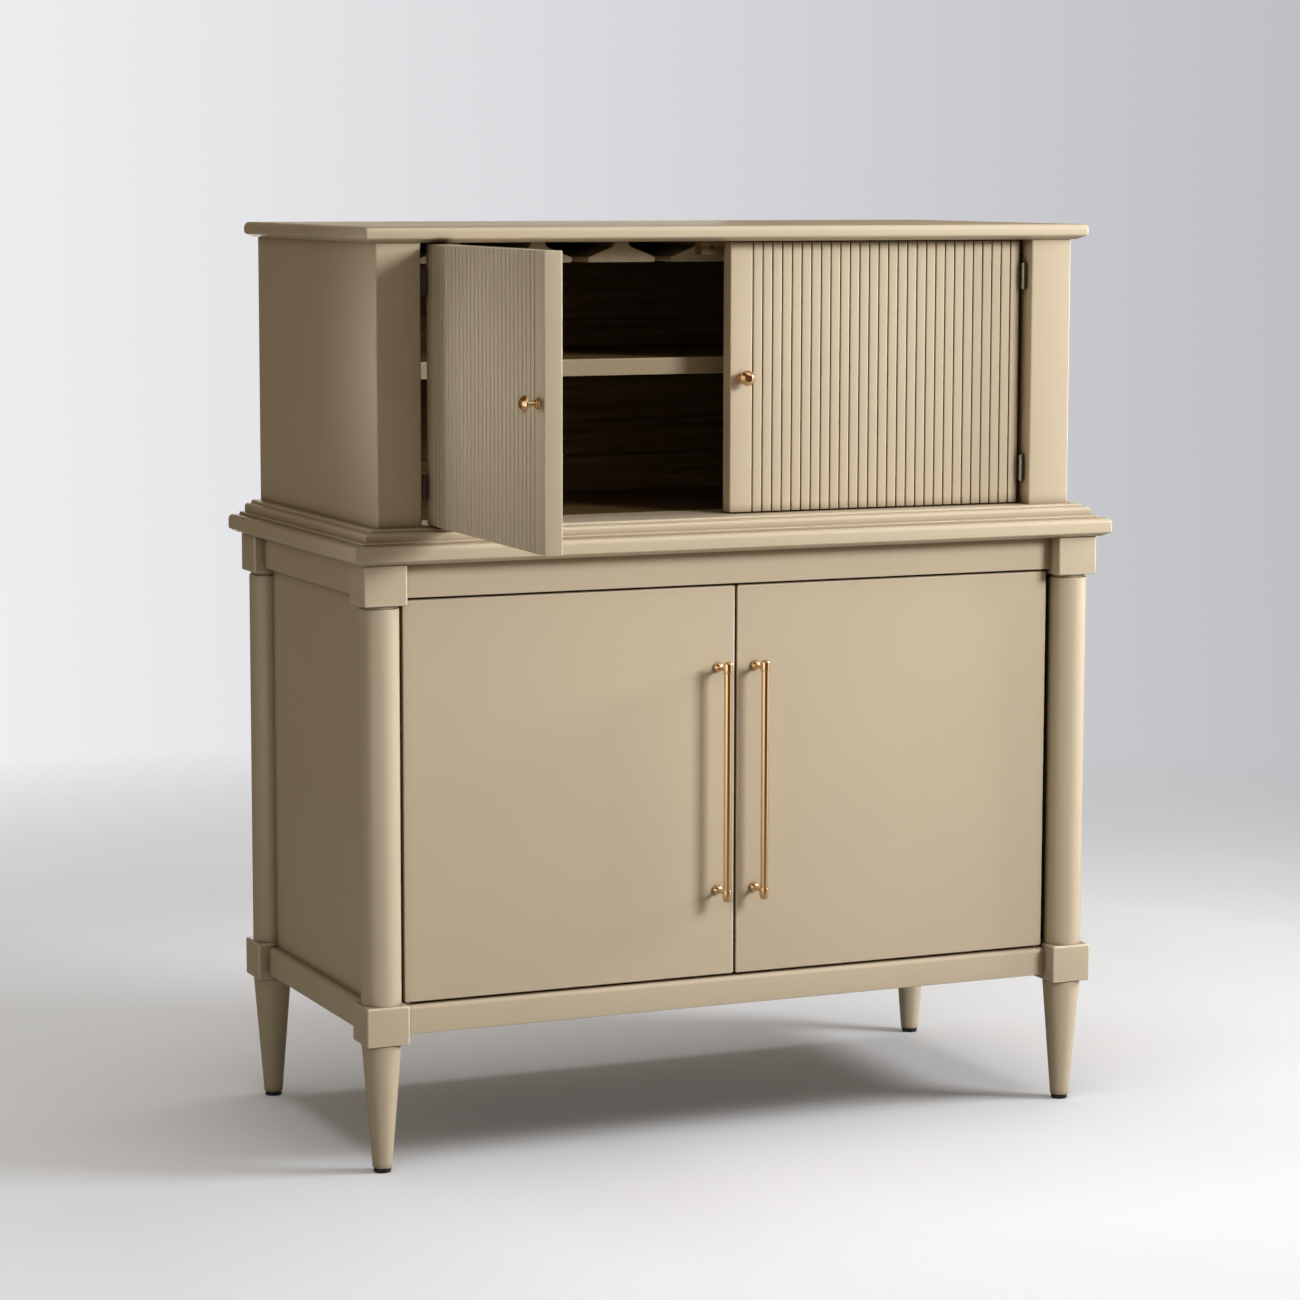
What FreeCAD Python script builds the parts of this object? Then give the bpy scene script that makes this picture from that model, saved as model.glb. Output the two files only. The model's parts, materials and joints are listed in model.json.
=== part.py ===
import FreeCAD, Part
import math
import os

# Bar cabinet in two stages: a base with turned corner posts, tapered legs and two flat doors under a
# counter, and a hutch with pilasters, two reeded doors, a shelf and a rack of T mouldings for stemware.
# Millimetres. The origin is on the floor at the centre of the four feet, +X to the right as seen from
# the front, -Y to the front, +Z up. The hutch's left door stands open.

V = FreeCAD.Vector

# Feet and legs
glide_diameter = 24.0
glide_height = 6.0
glide_nail_diameter = 5.0
glide_nail_length = 18.0
leg_length = 176.0
leg_top_diameter = 55.5
leg_foot_diameter = 27.0
leg_edge_radius = 2.0
leg_bolt_diameter = 8.0
leg_bolt_length = 70.0

# Corner posts: square block, round column with a sunk neck, square block
post_pitch_x = 1074.0
post_pitch_y = 482.0
block_width = 62.0
block_edge_radius = 3.0
lower_block_height = 55.0
column_length = 552.5
column_diameter = 55.5
column_shoulder_radius = 2.0
neck_height = 4.0
neck_depth = 2.5
upper_block_height = 56.5

# Rails and aprons, tenoned into the blocks
rail_thickness = 22.0
rail_recess_front = 28.0
rail_recess_side = 16.0
rail_rise = 8.0
rail_drop = 6.0
rail_top_radius = 7.0
rail_edge_radius = 2.0
apron_rise = 7.5
tenon_length = 15.0
side_tenon_reach = 3.0
tenon_thickness = 10.0
tenon_shoulder = 9.0

# Panels, floor and shelf of the base
side_panel_recess = 14.0
back_panel_recess = 7.0
side_panel_thickness = 8.0
back_panel_thickness = 8.0
panel_groove = 6.0
panel_housing = 12.0
floor_thickness = 16.0
lower_shelf_thickness = 18.0
lower_shelf_rise = 268.0
lower_shelf_setback = 28.0
shelf_clearance = 1.0
shelf_pin_diameter = 5.0
shelf_pin_depth = 6.0
shelf_tongue_reach = 12.0
shelf_tongue_width = 10.0
shelf_tongue_thickness = 3.0
shelf_pin_inset = 60.0

# Counter and the moulded plinth of the hutch
counter_overhang_side = 18.0
counter_overhang_front = 15.0
counter_overhang_back = 4.0
counter_thickness = 26.0
counter_bevel_rise = 6.0
counter_bevel_run = 12.0
counter_lower_radius = 3.0
counter_upper_radius = 7.0
plinth_reveal = 16.0
plinth_fillet_height = 4.0
plinth_fillet_width = 8.0
plinth_step_height = 12.0
plinth_step_width = 10.0
plinth_step_radius = 5.0
plinth_cap_height = 4.5
plinth_cap_width = 15.0
plinth_cap_radius = 3.5

# Hutch case and top
hutch_height = 385.5
hutch_side_thickness = 20.0
pilaster_width = 65.0
pilaster_depth = 58.0
pilaster_edge_radius = 3.0
hutch_back_setback = 4.0
hutch_back_thickness = 10.0
back_rail_height = 53.5
back_rail_thickness = 15.0
back_rail_foot_height = 21.5
back_rail_foot_width = 5.0
back_rail_radius = 3.0
hutch_shelf_rise = 195.5
hutch_shelf_thickness = 24.0
hutch_shelf_setback = 48.0
hutch_shelf_radius = 2.0
top_overhang_side = 20.0
top_overhang_front = 17.0
top_overhang_back = 4.0
top_thickness = 22.0
top_bevel_rise = 6.0
top_bevel_run = 14.0
top_lower_radius = 5.0
top_upper_radius = 8.0

# Stemware rack
rack_full_rails = 7
rack_slot_width = 25.0
rack_wall_inset = 7.0
rack_height = 31.0
rack_lip_height = 7.3
rack_lip_radius = 2.5
rack_stem_width = 21.0
rack_neck_height = 7.5
rack_neck_radius = 10.0
rack_front_setback = 63.0

# Base doors: flat, hung on pivot pins in bushes
lower_door_thickness = 22.0
lower_door_setback = 4.0
lower_door_gap = 3.0
lower_door_edge_radius = 3.0
pivot_inset = 7.0
pivot_diameter = 5.0
pivot_in_door = 24.0
pivot_in_bush = 10.0
pivot_collar_diameter = 8.0
bush_diameter = 8.0
bush_length = 12.0

# Bar pulls
pull_centres = 320.0
pull_drop = 276.0
pull_inset = 27.5
pull_projection = 36.0
pull_bar_diameter = 11.2
pull_collar_diameter = 12.8
pull_collar_length = 17.0
pull_collar_radius = 4.5
pull_tip_reach = 12.0
pull_neck_diameter = 6.4
pull_neck_radius = 1.8
pull_flare_diameter = 12.0
pull_flare_start = 23.5
pull_flare_radius = 3.0
pull_rose_diameter = 13.5
pull_rose_foot_diameter = 11.2
pull_rose_shoulder_diameter = 12.0
pull_rose_belly_height = 2.6
pull_rose_shoulder_height = 5.8
pull_rose_height = 7.6
pull_rose_radius = 2.2

# Hutch doors: reeded, hung on butt hinges
upper_door_thickness = 25.0
upper_door_recess = 25.0
upper_door_gap = 2.0
upper_door_meeting_gap = 3.4
upper_door_edge_radius = 2.0
upper_left_open_angle = 92.0
plain_strip_width = 35.0
hinge_strip_width = 15.5
groove_count = 28
groove_width = 1.0
groove_depth = 3.0
reed_edge_radius = 2.5
hinge_height = 36.0
hinge_end_distance = 51.0
knuckle_count = 5
knuckle_diameter = 7.0
knuckle_gap = 0.2
knuckle_clearance = 0.5
knuckle_stand_off = 5.0
hinge_pin_diameter = 3.2
hinge_head_diameter = 5.0
hinge_head_height = 1.4
leaf_thickness = 2.0
leaf_width = 22.0
leaf_play = 2.0

# Knobs
knob_projection = 26.0
knob_inset = 17.5
knob_head_diameter = 22.0
knob_rim_height = 2.6
knob_rim_radius = 1.0
knob_dome_height = 5.4
knob_dome_shoulder = 3.2
knob_dome_radius = 5.0
knob_neck_diameter = 7.6
knob_neck_radius = 3.0
knob_rose_diameter = 15.0
knob_rose_height = 3.2
knob_rose_radius = 1.2
knob_ring_diameter = 10.6
knob_ring_height = 6.0
knob_ring_radius = 1.0

# Screws of knobs and pulls, magnets, strikes and stops
screw_diameter = 4.0
screw_head_diameter = 9.0
screw_head_height = 2.5
screw_grip = 9.0
screw_play = 0.25
magnet_diameter = 8.0
magnet_depth = 5.0
strike_diameter = 11.0
strike_thickness = 1.5
stop_gap = 0.5
stop_thickness = 16.0
stop_drop = 20.0
stop_height = 26.0
stop_half_width = 60.0
upper_stop_half_width = 32.0
upper_stop_depth = 22.0
upper_stop_drop = 20.0
upper_magnet_inset = 16.0

# Fits
running_clearance = 0.05
seat_clearance = 0.1

# Levels from the floor up
z_leg = glide_height
z_lower_block = z_leg + leg_length
z_column = z_lower_block + lower_block_height
z_upper_block = z_column + column_length
z_counter = z_upper_block + upper_block_height
z_plinth = z_counter + counter_thickness
z_hutch = z_plinth + plinth_fillet_height + plinth_step_height + plinth_cap_height
z_top = z_hutch + hutch_height
rail_bottom = z_lower_block + rail_rise
rail_top = z_column - rail_drop
apron_bottom = z_upper_block + apron_rise

# Plan of the base
post_x = post_pitch_x / 2
post_y = post_pitch_y / 2
block_in_x = post_x - block_width / 2
block_out_x = post_x + block_width / 2
block_in_y = post_y - block_width / 2
block_out_y = post_y + block_width / 2
rail_face_y = block_out_y - rail_recess_front
rail_back_y = rail_face_y - rail_thickness
rail_face_x = block_out_x - rail_recess_side
rail_back_x = rail_face_x - rail_thickness
panel_face_x = rail_face_x - side_panel_recess
panel_back_x = panel_face_x - side_panel_thickness
panel_face_y = rail_face_y - back_panel_recess
panel_back_y = panel_face_y - back_panel_thickness
panel_bottom = rail_top - panel_groove
panel_top = apron_bottom + panel_groove

# Plan of the counter, hutch and top
counter_x = block_out_x + counter_overhang_side
counter_front = -block_out_y - counter_overhang_front
counter_back = block_out_y + counter_overhang_back
plinth_x = counter_x - plinth_reveal
plinth_front = counter_front + plinth_reveal
plinth_step_out = plinth_fillet_width + plinth_step_width + plinth_cap_width
hutch_x = plinth_x - plinth_step_out
hutch_front = plinth_front + plinth_step_out
hutch_back = counter_back - hutch_back_setback
hutch_in_x = hutch_x - hutch_side_thickness
return_x = hutch_x - pilaster_width
hutch_back_in = hutch_back - hutch_back_thickness

# Base doors
lower_door_x0 = lower_door_gap / 2
lower_door_x1 = block_in_x - lower_door_gap
lower_door_z0 = rail_top + lower_door_gap
lower_door_z1 = apron_bottom - lower_door_gap
lower_face_y = -rail_face_y + lower_door_setback
lower_back_y = lower_face_y + lower_door_thickness
pivot_x = lower_door_x1 - pivot_inset
pivot_y = lower_face_y + pivot_inset
pull_x = lower_door_x0 + pull_inset
pull_z = lower_door_z1 - pull_drop

# Hutch doors
side_gap = 2 * leaf_thickness + leaf_play
upper_door_x0 = upper_door_meeting_gap / 2
upper_door_x1 = return_x - side_gap
upper_door_z0 = z_hutch + upper_door_gap
upper_door_z1 = z_top - upper_door_gap
upper_face_y = hutch_front + upper_door_recess
upper_back_y = upper_face_y + upper_door_thickness
knuckle_radius = knuckle_diameter / 2
hinge_x = return_x - knuckle_radius - knuckle_clearance
hinge_y = upper_face_y - knuckle_radius - knuckle_stand_off
hinge_levels = [upper_door_z0 + hinge_end_distance, upper_door_z1 - hinge_end_distance]
knob_x = upper_door_x0 + knob_inset
knob_z = (upper_door_z0 + upper_door_z1) / 2


# Levels and places of the fittings
pull_levels = [pull_z - pull_centres / 2, pull_z + pull_centres / 2]
lower_magnet_z = apron_bottom - stop_drop / 2
upper_magnet_z = z_top - upper_stop_drop / 2
lower_stop_front = lower_back_y + stop_gap
upper_stop_front = upper_back_y + stop_gap
lower_shelf_z = rail_top + lower_shelf_rise
hutch_shelf_z = z_hutch + hutch_shelf_rise
lower_pins = [(panel_back_x, lower_back_y + lower_shelf_setback + shelf_pin_inset, lower_shelf_z),
              (panel_back_x, panel_back_y - shelf_clearance - shelf_pin_inset, lower_shelf_z)]
hutch_pins = [(hutch_in_x, upper_back_y + hutch_shelf_setback + shelf_pin_inset, hutch_shelf_z),
              (hutch_in_x, hutch_back_in - shelf_pin_inset, hutch_shelf_z)]
bushes = [(rail_top, -1), (apron_bottom, 1)]
corners_of_plan = {"front_left": (-post_x, -post_y), "front_right": (post_x, -post_y),
                   "rear_left": (-post_x, post_y), "rear_right": (post_x, post_y)}


def box(x0, x1, y0, y1, z0, z1):
    """Box between two corners."""
    return Part.makeBox(x1 - x0, y1 - y0, z1 - z0, V(x0, y0, z0))


def eased_box(x0, x1, y0, y1, z0, z1, radius):
    """Box with all its edges rounded."""
    solid = box(x0, x1, y0, y1, z0, z1)
    return solid.makeFillet(radius, solid.Edges)


def rod(start, direction, diameter, length):
    """Round bar from a point along a direction."""
    return Part.makeCylinder(diameter / 2, length, start, direction)


def group(shapes):
    """Separate solids under one name."""
    return Part.makeCompound(shapes)


def mirror_x(shape):
    """The same piece on the other side of the cabinet."""
    return shape.mirror(V(0, 0, 0), V(1, 0, 0))


def mirror_y(shape):
    """The same piece at the other end of the cabinet."""
    return shape.mirror(V(0, 0, 0), V(0, 1, 0))


def outline_face(corners, place):
    """Flat face inside corners (u, v, radius); tangent arcs round them, as far as the sides have room."""
    count = len(corners)
    points = [V(u, v, 0) for u, v, _ in corners]
    starts = []
    ends = []
    edges = []
    for i, (_, _, radius) in enumerate(corners):
        here = points[i]
        runs = []
        directions = []
        for j in (i - 1, (i + 1) % count):
            side = points[j] - here
            share = 1 if corners[j][2] == 0 else 2
            runs.append(side.Length / share)
            directions.append(side.normalize())
        if radius == 0:
            starts.append(here)
            ends.append(here)
            continue
        half = directions[0].getAngle(directions[1]) / 2
        run = min([radius / math.tan(half)] + runs)
        radius = run * math.tan(half)
        middle = (directions[0] + directions[1]).normalize()
        starts.append(here + directions[0] * run)
        ends.append(here + directions[1] * run)
        crown = here + middle * (radius / math.sin(half) - radius)
        arc = [place(p.x, p.y) for p in (starts[i], crown, ends[i])]
        edges.append(Part.Arc(*arc).toShape())
    for i in range(count):
        start = ends[i - 1]
        end = starts[i]
        if start.distanceToPoint(end) > seat_clearance / 1000:
            edges.append(Part.makeLine(place(start.x, start.y), place(end.x, end.y)))
    return Part.Face(Part.Wire(Part.__sortEdges__(edges)))


def turned(corners, at):
    """Piece turned on a lathe: corners (radius, height, rounding) about a vertical axis through a point."""
    face = outline_face(corners, lambda u, v: V(u, 0, v))
    solid = face.revolve(V(0, 0, 0), V(0, 0, 1), 360)
    solid.translate(at)
    return solid


def turned_forward(corners, at):
    """Turned piece whose axis points to the front from a point."""
    solid = turned(corners, V(0, 0, 0))
    solid.rotate(V(0, 0, 0), V(1, 0, 0), 90)
    solid.translate(at)
    return solid


def moulded_board(half_width, front, back, z0, edge):
    """Board whose moulded edge, corners (inset, height, radius), is mitred round the front and both sides."""
    rise = edge[-1][1]
    right = [(half_width - inset, z0 + height, radius) for inset, height, radius in edge]
    left = [(-x, z, radius) for x, z, radius in reversed(right)]
    across = outline_face(right + left, lambda u, v: V(u, front - rise, v))
    across = across.extrude(V(0, back - front + 2 * rise, 0))
    nose = [(front + inset, z0 + height, radius) for inset, height, radius in edge]
    tail = [(back, z0 + rise, 0), (back, z0, 0)]
    along = outline_face(nose + tail, lambda u, v: V(-half_width - rise, u, v))
    along = along.extrude(V(2 * half_width + 2 * rise, 0, 0))
    return across.common(along)


def glide(x, y):
    """Plastic glide nailed into the foot."""
    radius = glide_diameter / 2
    nail = glide_nail_diameter / 2
    tip = glide_height + glide_nail_length
    rounding = glide_height / 4
    corners = [(0, 0, 0), (radius, 0, rounding), (radius, glide_height, rounding), (nail, glide_height, 0),
               (nail, tip, 0), (0, tip, 0)]
    return turned(corners, V(x, y, 0))


def leg(x, y):
    """Tapered leg, bored for the glide's nail and the hanger bolt."""
    foot = leg_foot_diameter / 2
    top = leg_top_diameter / 2
    corners = [(0, 0, 0), (foot, 0, leg_edge_radius), (top, leg_length, leg_edge_radius), (0, leg_length, 0)]
    solid = turned(corners, V(x, y, z_leg))
    bore = 2 * seat_clearance
    nail = rod(V(x, y, z_leg), V(0, 0, 1), glide_nail_diameter + bore, glide_nail_length + bore)
    bolt_depth = leg_bolt_length / 2 + bore
    bolt = rod(V(x, y, z_lower_block), V(0, 0, -1), leg_bolt_diameter + bore, bolt_depth)
    return solid.cut(group([nail, bolt]))


def leg_bolt(x, y):
    """Hanger bolt, half in the leg and half in the post."""
    start = V(x, y, z_lower_block - leg_bolt_length / 2)
    return rod(start, V(0, 0, 1), leg_bolt_diameter, leg_bolt_length)


def post(x, y):
    """Corner post turned from one square: block, column, neck, block."""
    half = block_width / 2
    plan = (x - half, x + half, y - half, y + half)
    lower = eased_box(*plan, z_lower_block, z_column, block_edge_radius)
    upper = eased_box(*plan, z_upper_block, z_counter, block_edge_radius)
    radius = column_diameter / 2
    neck = radius - neck_depth
    neck_foot = column_length - neck_height
    corners = [(0, -half, 0), (neck, -half, 0), (neck, 0, 0), (radius, 0, 0),
               (radius, neck_foot, column_shoulder_radius), (neck, neck_foot, 0),
               (neck, column_length + half, 0), (0, column_length + half, 0)]
    column = turned(corners, V(x, y, z_column))
    bore = 2 * seat_clearance
    bolt_depth = leg_bolt_length / 2 + bore
    bolt = rod(V(x, y, z_lower_block), V(0, 0, 1), leg_bolt_diameter + bore, bolt_depth)
    return lower.fuse([column, upper]).removeSplitter().cut(bolt)


def front_bar(z0, z1, top_radius):
    """Rail or apron across the front, with a stub tenon into the block at each end."""
    corners = [(-rail_face_y, z0, rail_edge_radius), (-rail_face_y, z1, top_radius),
               (-rail_back_y, z1, 0), (-rail_back_y, z0, 0)]
    face = outline_face(corners, lambda u, v: V(-block_in_x, u, v))
    bar = face.extrude(V(2 * block_in_x, 0, 0))
    tip = block_in_x + tenon_length
    middle = -(rail_face_y + rail_back_y) / 2
    tenon = box(-tip, tip, middle - tenon_thickness / 2, middle + tenon_thickness / 2,
                z0 + tenon_shoulder, z1 - tenon_shoulder)
    return bar.fuse(tenon)


def side_bar(z0, z1, top_radius):
    """Rail or apron along the right side, its stub tenons just past the inner face of the front rail."""
    corners = [(rail_face_x, z0, rail_edge_radius), (rail_face_x, z1, top_radius),
               (rail_back_x, z1, 0), (rail_back_x, z0, 0)]
    face = outline_face(corners, lambda u, v: V(u, -block_in_y, v))
    bar = face.extrude(V(0, 2 * block_in_y, 0))
    tip = rail_back_y + side_tenon_reach
    middle = (rail_face_x + rail_back_x) / 2
    tenon = box(middle - tenon_thickness / 2, middle + tenon_thickness / 2, -tip, tip,
                z0 + tenon_shoulder, z1 - tenon_shoulder)
    return bar.fuse(tenon)


def cabinet_floor():
    """Floor of the base between the rails, notched round the four blocks."""
    board = box(-rail_back_x, rail_back_x, -rail_back_y, rail_back_y, rail_top - floor_thickness, rail_top)
    notch = box(block_in_x, block_out_x, block_in_y, block_out_y, z_lower_block, z_column)
    notches = [notch, mirror_x(notch)]
    notches += [mirror_y(shape) for shape in notches]
    return board.cut(group(notches))


def lower_shelf(z0):
    """Loose shelf of the base, notched round the rear columns."""
    x1 = panel_back_x - shelf_clearance
    front = lower_back_y + lower_shelf_setback
    board = box(-x1, x1, front, panel_back_y - shelf_clearance, z0, z0 + lower_shelf_thickness)
    reach = max(column_diameter, block_width) / 2 + shelf_clearance
    notch = box(post_x - reach, post_x + reach, post_y - reach, post_y + reach, z_column, z_upper_block)
    return board.cut(group([notch, mirror_x(notch)]))


def shelf_pin(x, y, z):
    """Shelf support for the right side: a peg in the panel and a flat tongue under the shelf."""
    tongue = box(x - shelf_tongue_reach, x, y - shelf_tongue_width / 2, y + shelf_tongue_width / 2,
                 z - shelf_tongue_thickness, z)
    peg = rod(V(x, y, z - shelf_tongue_thickness / 2), V(1, 0, 0), shelf_pin_diameter, shelf_pin_depth)
    return tongue.fuse(peg)


def pin_bore(x, y, z):
    """Hole in the right panel for one shelf support's peg."""
    start = V(x, y, z - shelf_tongue_thickness / 2)
    bore = 2 * seat_clearance
    return rod(start, V(1, 0, 0), shelf_pin_diameter + bore, shelf_pin_depth + seat_clearance)


def lower_stop():
    """Batten behind the front apron, with a lip that both base doors close against."""
    front = lower_back_y + stop_gap
    back = front + stop_thickness
    batten = box(-stop_half_width, stop_half_width, -rail_back_y, back,
                 apron_bottom, apron_bottom + stop_height)
    lip = box(-stop_half_width, stop_half_width, front, back, apron_bottom - stop_drop, apron_bottom)
    return batten.fuse(lip).removeSplitter()


def upper_stop():
    """Block under the top that both hutch doors close against."""
    front = upper_back_y + stop_gap
    return box(-upper_stop_half_width, upper_stop_half_width, front, front + upper_stop_depth,
               z_top - upper_stop_drop, z_top)


def magnet(x, front, z):
    """Round magnet set flush in a stop's front face."""
    return rod(V(x, front, z), V(0, 1, 0), magnet_diameter, magnet_depth)


def magnet_bore(x, front, z):
    """Hole for one magnet."""
    bore = magnet_diameter + 2 * seat_clearance
    return rod(V(x, front, z), V(0, 1, 0), bore, magnet_depth + seat_clearance)


def strike(x, back, z):
    """Steel disc let into a door's back, flush."""
    return rod(V(x, back, z), V(0, -1, 0), strike_diameter, strike_thickness)


def strike_bore(x, back, z):
    """Recess for one strike."""
    return rod(V(x, back, z), V(0, -1, 0), strike_diameter + 2 * seat_clearance, strike_thickness)


def through_screw(x, face, thickness, z):
    """Screw from a door's back into the fitting on its face."""
    shank = rod(V(x, face + thickness, z), V(0, -1, 0), screw_diameter, thickness + screw_grip)
    head = rod(V(x, face + thickness, z), V(0, 1, 0), screw_head_diameter, screw_head_height)
    return shank.fuse(head)


def through_hole(x, face, thickness, z):
    """Clearance hole for a screw through a door."""
    return rod(V(x, face, z), V(0, 1, 0), screw_diameter + 2 * screw_play, thickness)


def blind_hole(x, face, z):
    """Screw hole in the back of a knob or a pull."""
    bore = screw_diameter + 2 * running_clearance
    return rod(V(x, face, z), V(0, -1, 0), bore, screw_grip + seat_clearance)


def lower_door():
    """Right base door, drilled for its pull, pivots and strike."""
    door = eased_box(lower_door_x0, lower_door_x1, lower_face_y, lower_back_y,
                     lower_door_z0, lower_door_z1, lower_door_edge_radius)
    holes = [through_hole(pull_x, lower_face_y, lower_door_thickness, z) for z in pull_levels]
    pivot_bore = pivot_diameter + 2 * running_clearance
    pivot_depth = pivot_in_door + seat_clearance
    holes.append(rod(V(pivot_x, pivot_y, lower_door_z0), V(0, 0, 1), pivot_bore, pivot_depth))
    holes.append(rod(V(pivot_x, pivot_y, lower_door_z1), V(0, 0, -1), pivot_bore, pivot_depth))
    holes.append(strike_bore(pull_x, lower_back_y, lower_magnet_z))
    return door.cut(group(holes))


def pivot_pins():
    """Right base door's two pivots: each a pin with a collar that fills the gap to the rail or apron."""
    pins = []
    collar_height = lower_door_gap - seat_clearance
    for z, up in ((lower_door_z0, -1), (lower_door_z1, 1)):
        outward = V(0, 0, up)
        start = V(pivot_x, pivot_y, z - up * pivot_in_door)
        length = pivot_in_door + lower_door_gap + pivot_in_bush
        pin = rod(start, outward, pivot_diameter, length)
        collar = rod(V(pivot_x, pivot_y, z), outward, pivot_collar_diameter, collar_height)
        pins.append(pin.fuse(collar))
    return group(pins)


def bush(z, up):
    """Brass bush for one pivot, flush with the face of the rail or apron."""
    start = V(pivot_x, pivot_y, z)
    outer = rod(start, V(0, 0, up), bush_diameter, bush_length)
    return outer.cut(rod(start, V(0, 0, up), pivot_diameter + 2 * running_clearance, bush_length))


def bush_bore(z, up):
    """Hole for one bush."""
    return rod(V(pivot_x, pivot_y, z), V(0, 0, up), bush_diameter + 2 * seat_clearance, bush_length)


def pull():
    """Right bar pull: a bar with a domed collar at each end, on two posts with round roses."""
    bar_radius = pull_bar_diameter / 2
    collar_radius = pull_collar_diameter / 2
    tip = pull_centres / 2 + pull_tip_reach
    collar_foot = tip - pull_collar_length
    corners = [(0, -tip, 0), (collar_radius, -tip, pull_collar_radius), (collar_radius, -collar_foot, 0),
               (bar_radius, -collar_foot, 0), (bar_radius, collar_foot, 0), (collar_radius, collar_foot, 0),
               (collar_radius, tip, pull_collar_radius), (0, tip, 0)]
    bar = turned(corners, V(pull_x, lower_face_y - pull_projection, pull_z))
    neck = pull_neck_diameter / 2
    corners = [(0, 0, 0), (pull_rose_foot_diameter / 2, 0, 0),
               (pull_rose_diameter / 2, pull_rose_belly_height, pull_rose_radius),
               (pull_rose_shoulder_diameter / 2, pull_rose_shoulder_height, pull_rose_radius),
               (neck, pull_rose_height, pull_neck_radius), (neck, pull_flare_start, pull_flare_radius),
               (pull_flare_diameter / 2, pull_projection, 0), (0, pull_projection, 0)]
    posts = []
    for z in pull_levels:
        shank = turned_forward(corners, V(pull_x, lower_face_y, z)).cut(bar)
        posts.append(shank.cut(blind_hole(pull_x, lower_face_y, z)))
    return group([bar] + posts)


def reeded_door():
    """Right hutch door: a plain strip at the free edge, then flat round-edged reeds between grooves."""
    width = upper_door_x1 - upper_door_x0
    pitch = (width - plain_strip_width - hinge_strip_width) / (groove_count - 1)
    corners = [(0, upper_door_thickness, upper_door_edge_radius), (0, 0, upper_door_edge_radius)]
    for k in range(groove_count):
        left = plain_strip_width + k * pitch - groove_width / 2
        right = left + groove_width
        corners += [(left, 0, reed_edge_radius), (left, groove_depth, 0),
                    (right, groove_depth, 0), (right, 0, reed_edge_radius)]
    corners += [(width, 0, upper_door_edge_radius), (width, upper_door_thickness, upper_door_edge_radius)]
    face = outline_face(corners, lambda u, v: V(upper_door_x0 + u, upper_face_y + v, upper_door_z0))
    door = face.extrude(V(0, 0, upper_door_z1 - upper_door_z0))
    holes = [through_hole(knob_x, upper_face_y, upper_door_thickness, knob_z),
             strike_bore(upper_magnet_inset, upper_back_y, upper_magnet_z)]
    return door.cut(group(holes))


def knob():
    """Right knob: round rose, waisted neck and a domed head with a rim."""
    head = knob_head_diameter / 2
    neck = knob_neck_diameter / 2
    rose = knob_rose_diameter / 2
    rim_front = knob_projection - knob_dome_height
    rim_back = rim_front - knob_rim_height
    ring = knob_ring_diameter / 2
    corners = [(0, 0, 0), (rose, 0, 0), (rose, knob_rose_height, knob_rose_radius),
               (ring, knob_rose_height, 0), (ring, knob_ring_height, knob_ring_radius),
               (neck, knob_ring_height, 0), (neck, rim_back, knob_neck_radius),
               (head, rim_back, knob_rim_radius), (head, rim_front, knob_rim_radius),
               (head - knob_dome_shoulder, knob_projection - knob_dome_height / 3, knob_dome_radius),
               (head / 2, knob_projection, knob_dome_radius), (0, knob_projection, 0)]
    solid = turned_forward(corners, V(knob_x, upper_face_y, knob_z))
    return solid.cut(blind_hole(knob_x, upper_face_y, knob_z))


def knuckles(level, first):
    """Every second knuckle of one hinge, counted from the first: levels of their ends."""
    pitch = hinge_height / knuckle_count
    bottom = level - hinge_height / 2
    return [(bottom + k * pitch + knuckle_gap / 2, bottom + (k + 1) * pitch - knuckle_gap / 2)
            for k in range(first, knuckle_count, 2)]


def leaf(level, x0, first):
    """One leaf of a butt hinge: a plate from x0 and its knuckles, bored for the pin."""
    plate_y = hinge_y + knuckle_radius + knuckle_clearance
    plate = box(x0, x0 + leaf_thickness, plate_y, plate_y + leaf_width,
                level - hinge_height / 2, level + hinge_height / 2)
    pieces = []
    for z0, z1 in knuckles(level, first):
        pieces.append(rod(V(hinge_x, hinge_y, z0), V(0, 0, 1), knuckle_diameter, z1 - z0))
        pieces.append(box(x0, x0 + leaf_thickness, hinge_y, plate_y, z0, z1))
    bore = rod(V(hinge_x, hinge_y, level - hinge_height / 2), V(0, 0, 1),
               hinge_pin_diameter + 2 * running_clearance, hinge_height)
    return plate.fuse(pieces).cut(bore)


def hinge_pin(level):
    """Hinge pin with a small head at each end."""
    bottom = level - hinge_height / 2
    pin = rod(V(hinge_x, hinge_y, bottom), V(0, 0, 1), hinge_pin_diameter, hinge_height)
    heads = [rod(V(hinge_x, hinge_y, z), V(0, 0, up), hinge_head_diameter, hinge_head_height)
             for z, up in ((bottom, -1), (bottom + hinge_height, 1))]
    return pin.fuse(heads)


def pilaster():
    """Right pilaster of the hutch's front, with rounded front corners."""
    corners = [(return_x, hutch_front, pilaster_edge_radius), (hutch_x, hutch_front, pilaster_edge_radius),
               (hutch_x, hutch_front + pilaster_depth, 0), (return_x, hutch_front + pilaster_depth, 0)]
    face = outline_face(corners, lambda u, v: V(u, v, z_hutch))
    return face.extrude(V(0, 0, hutch_height))


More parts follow.
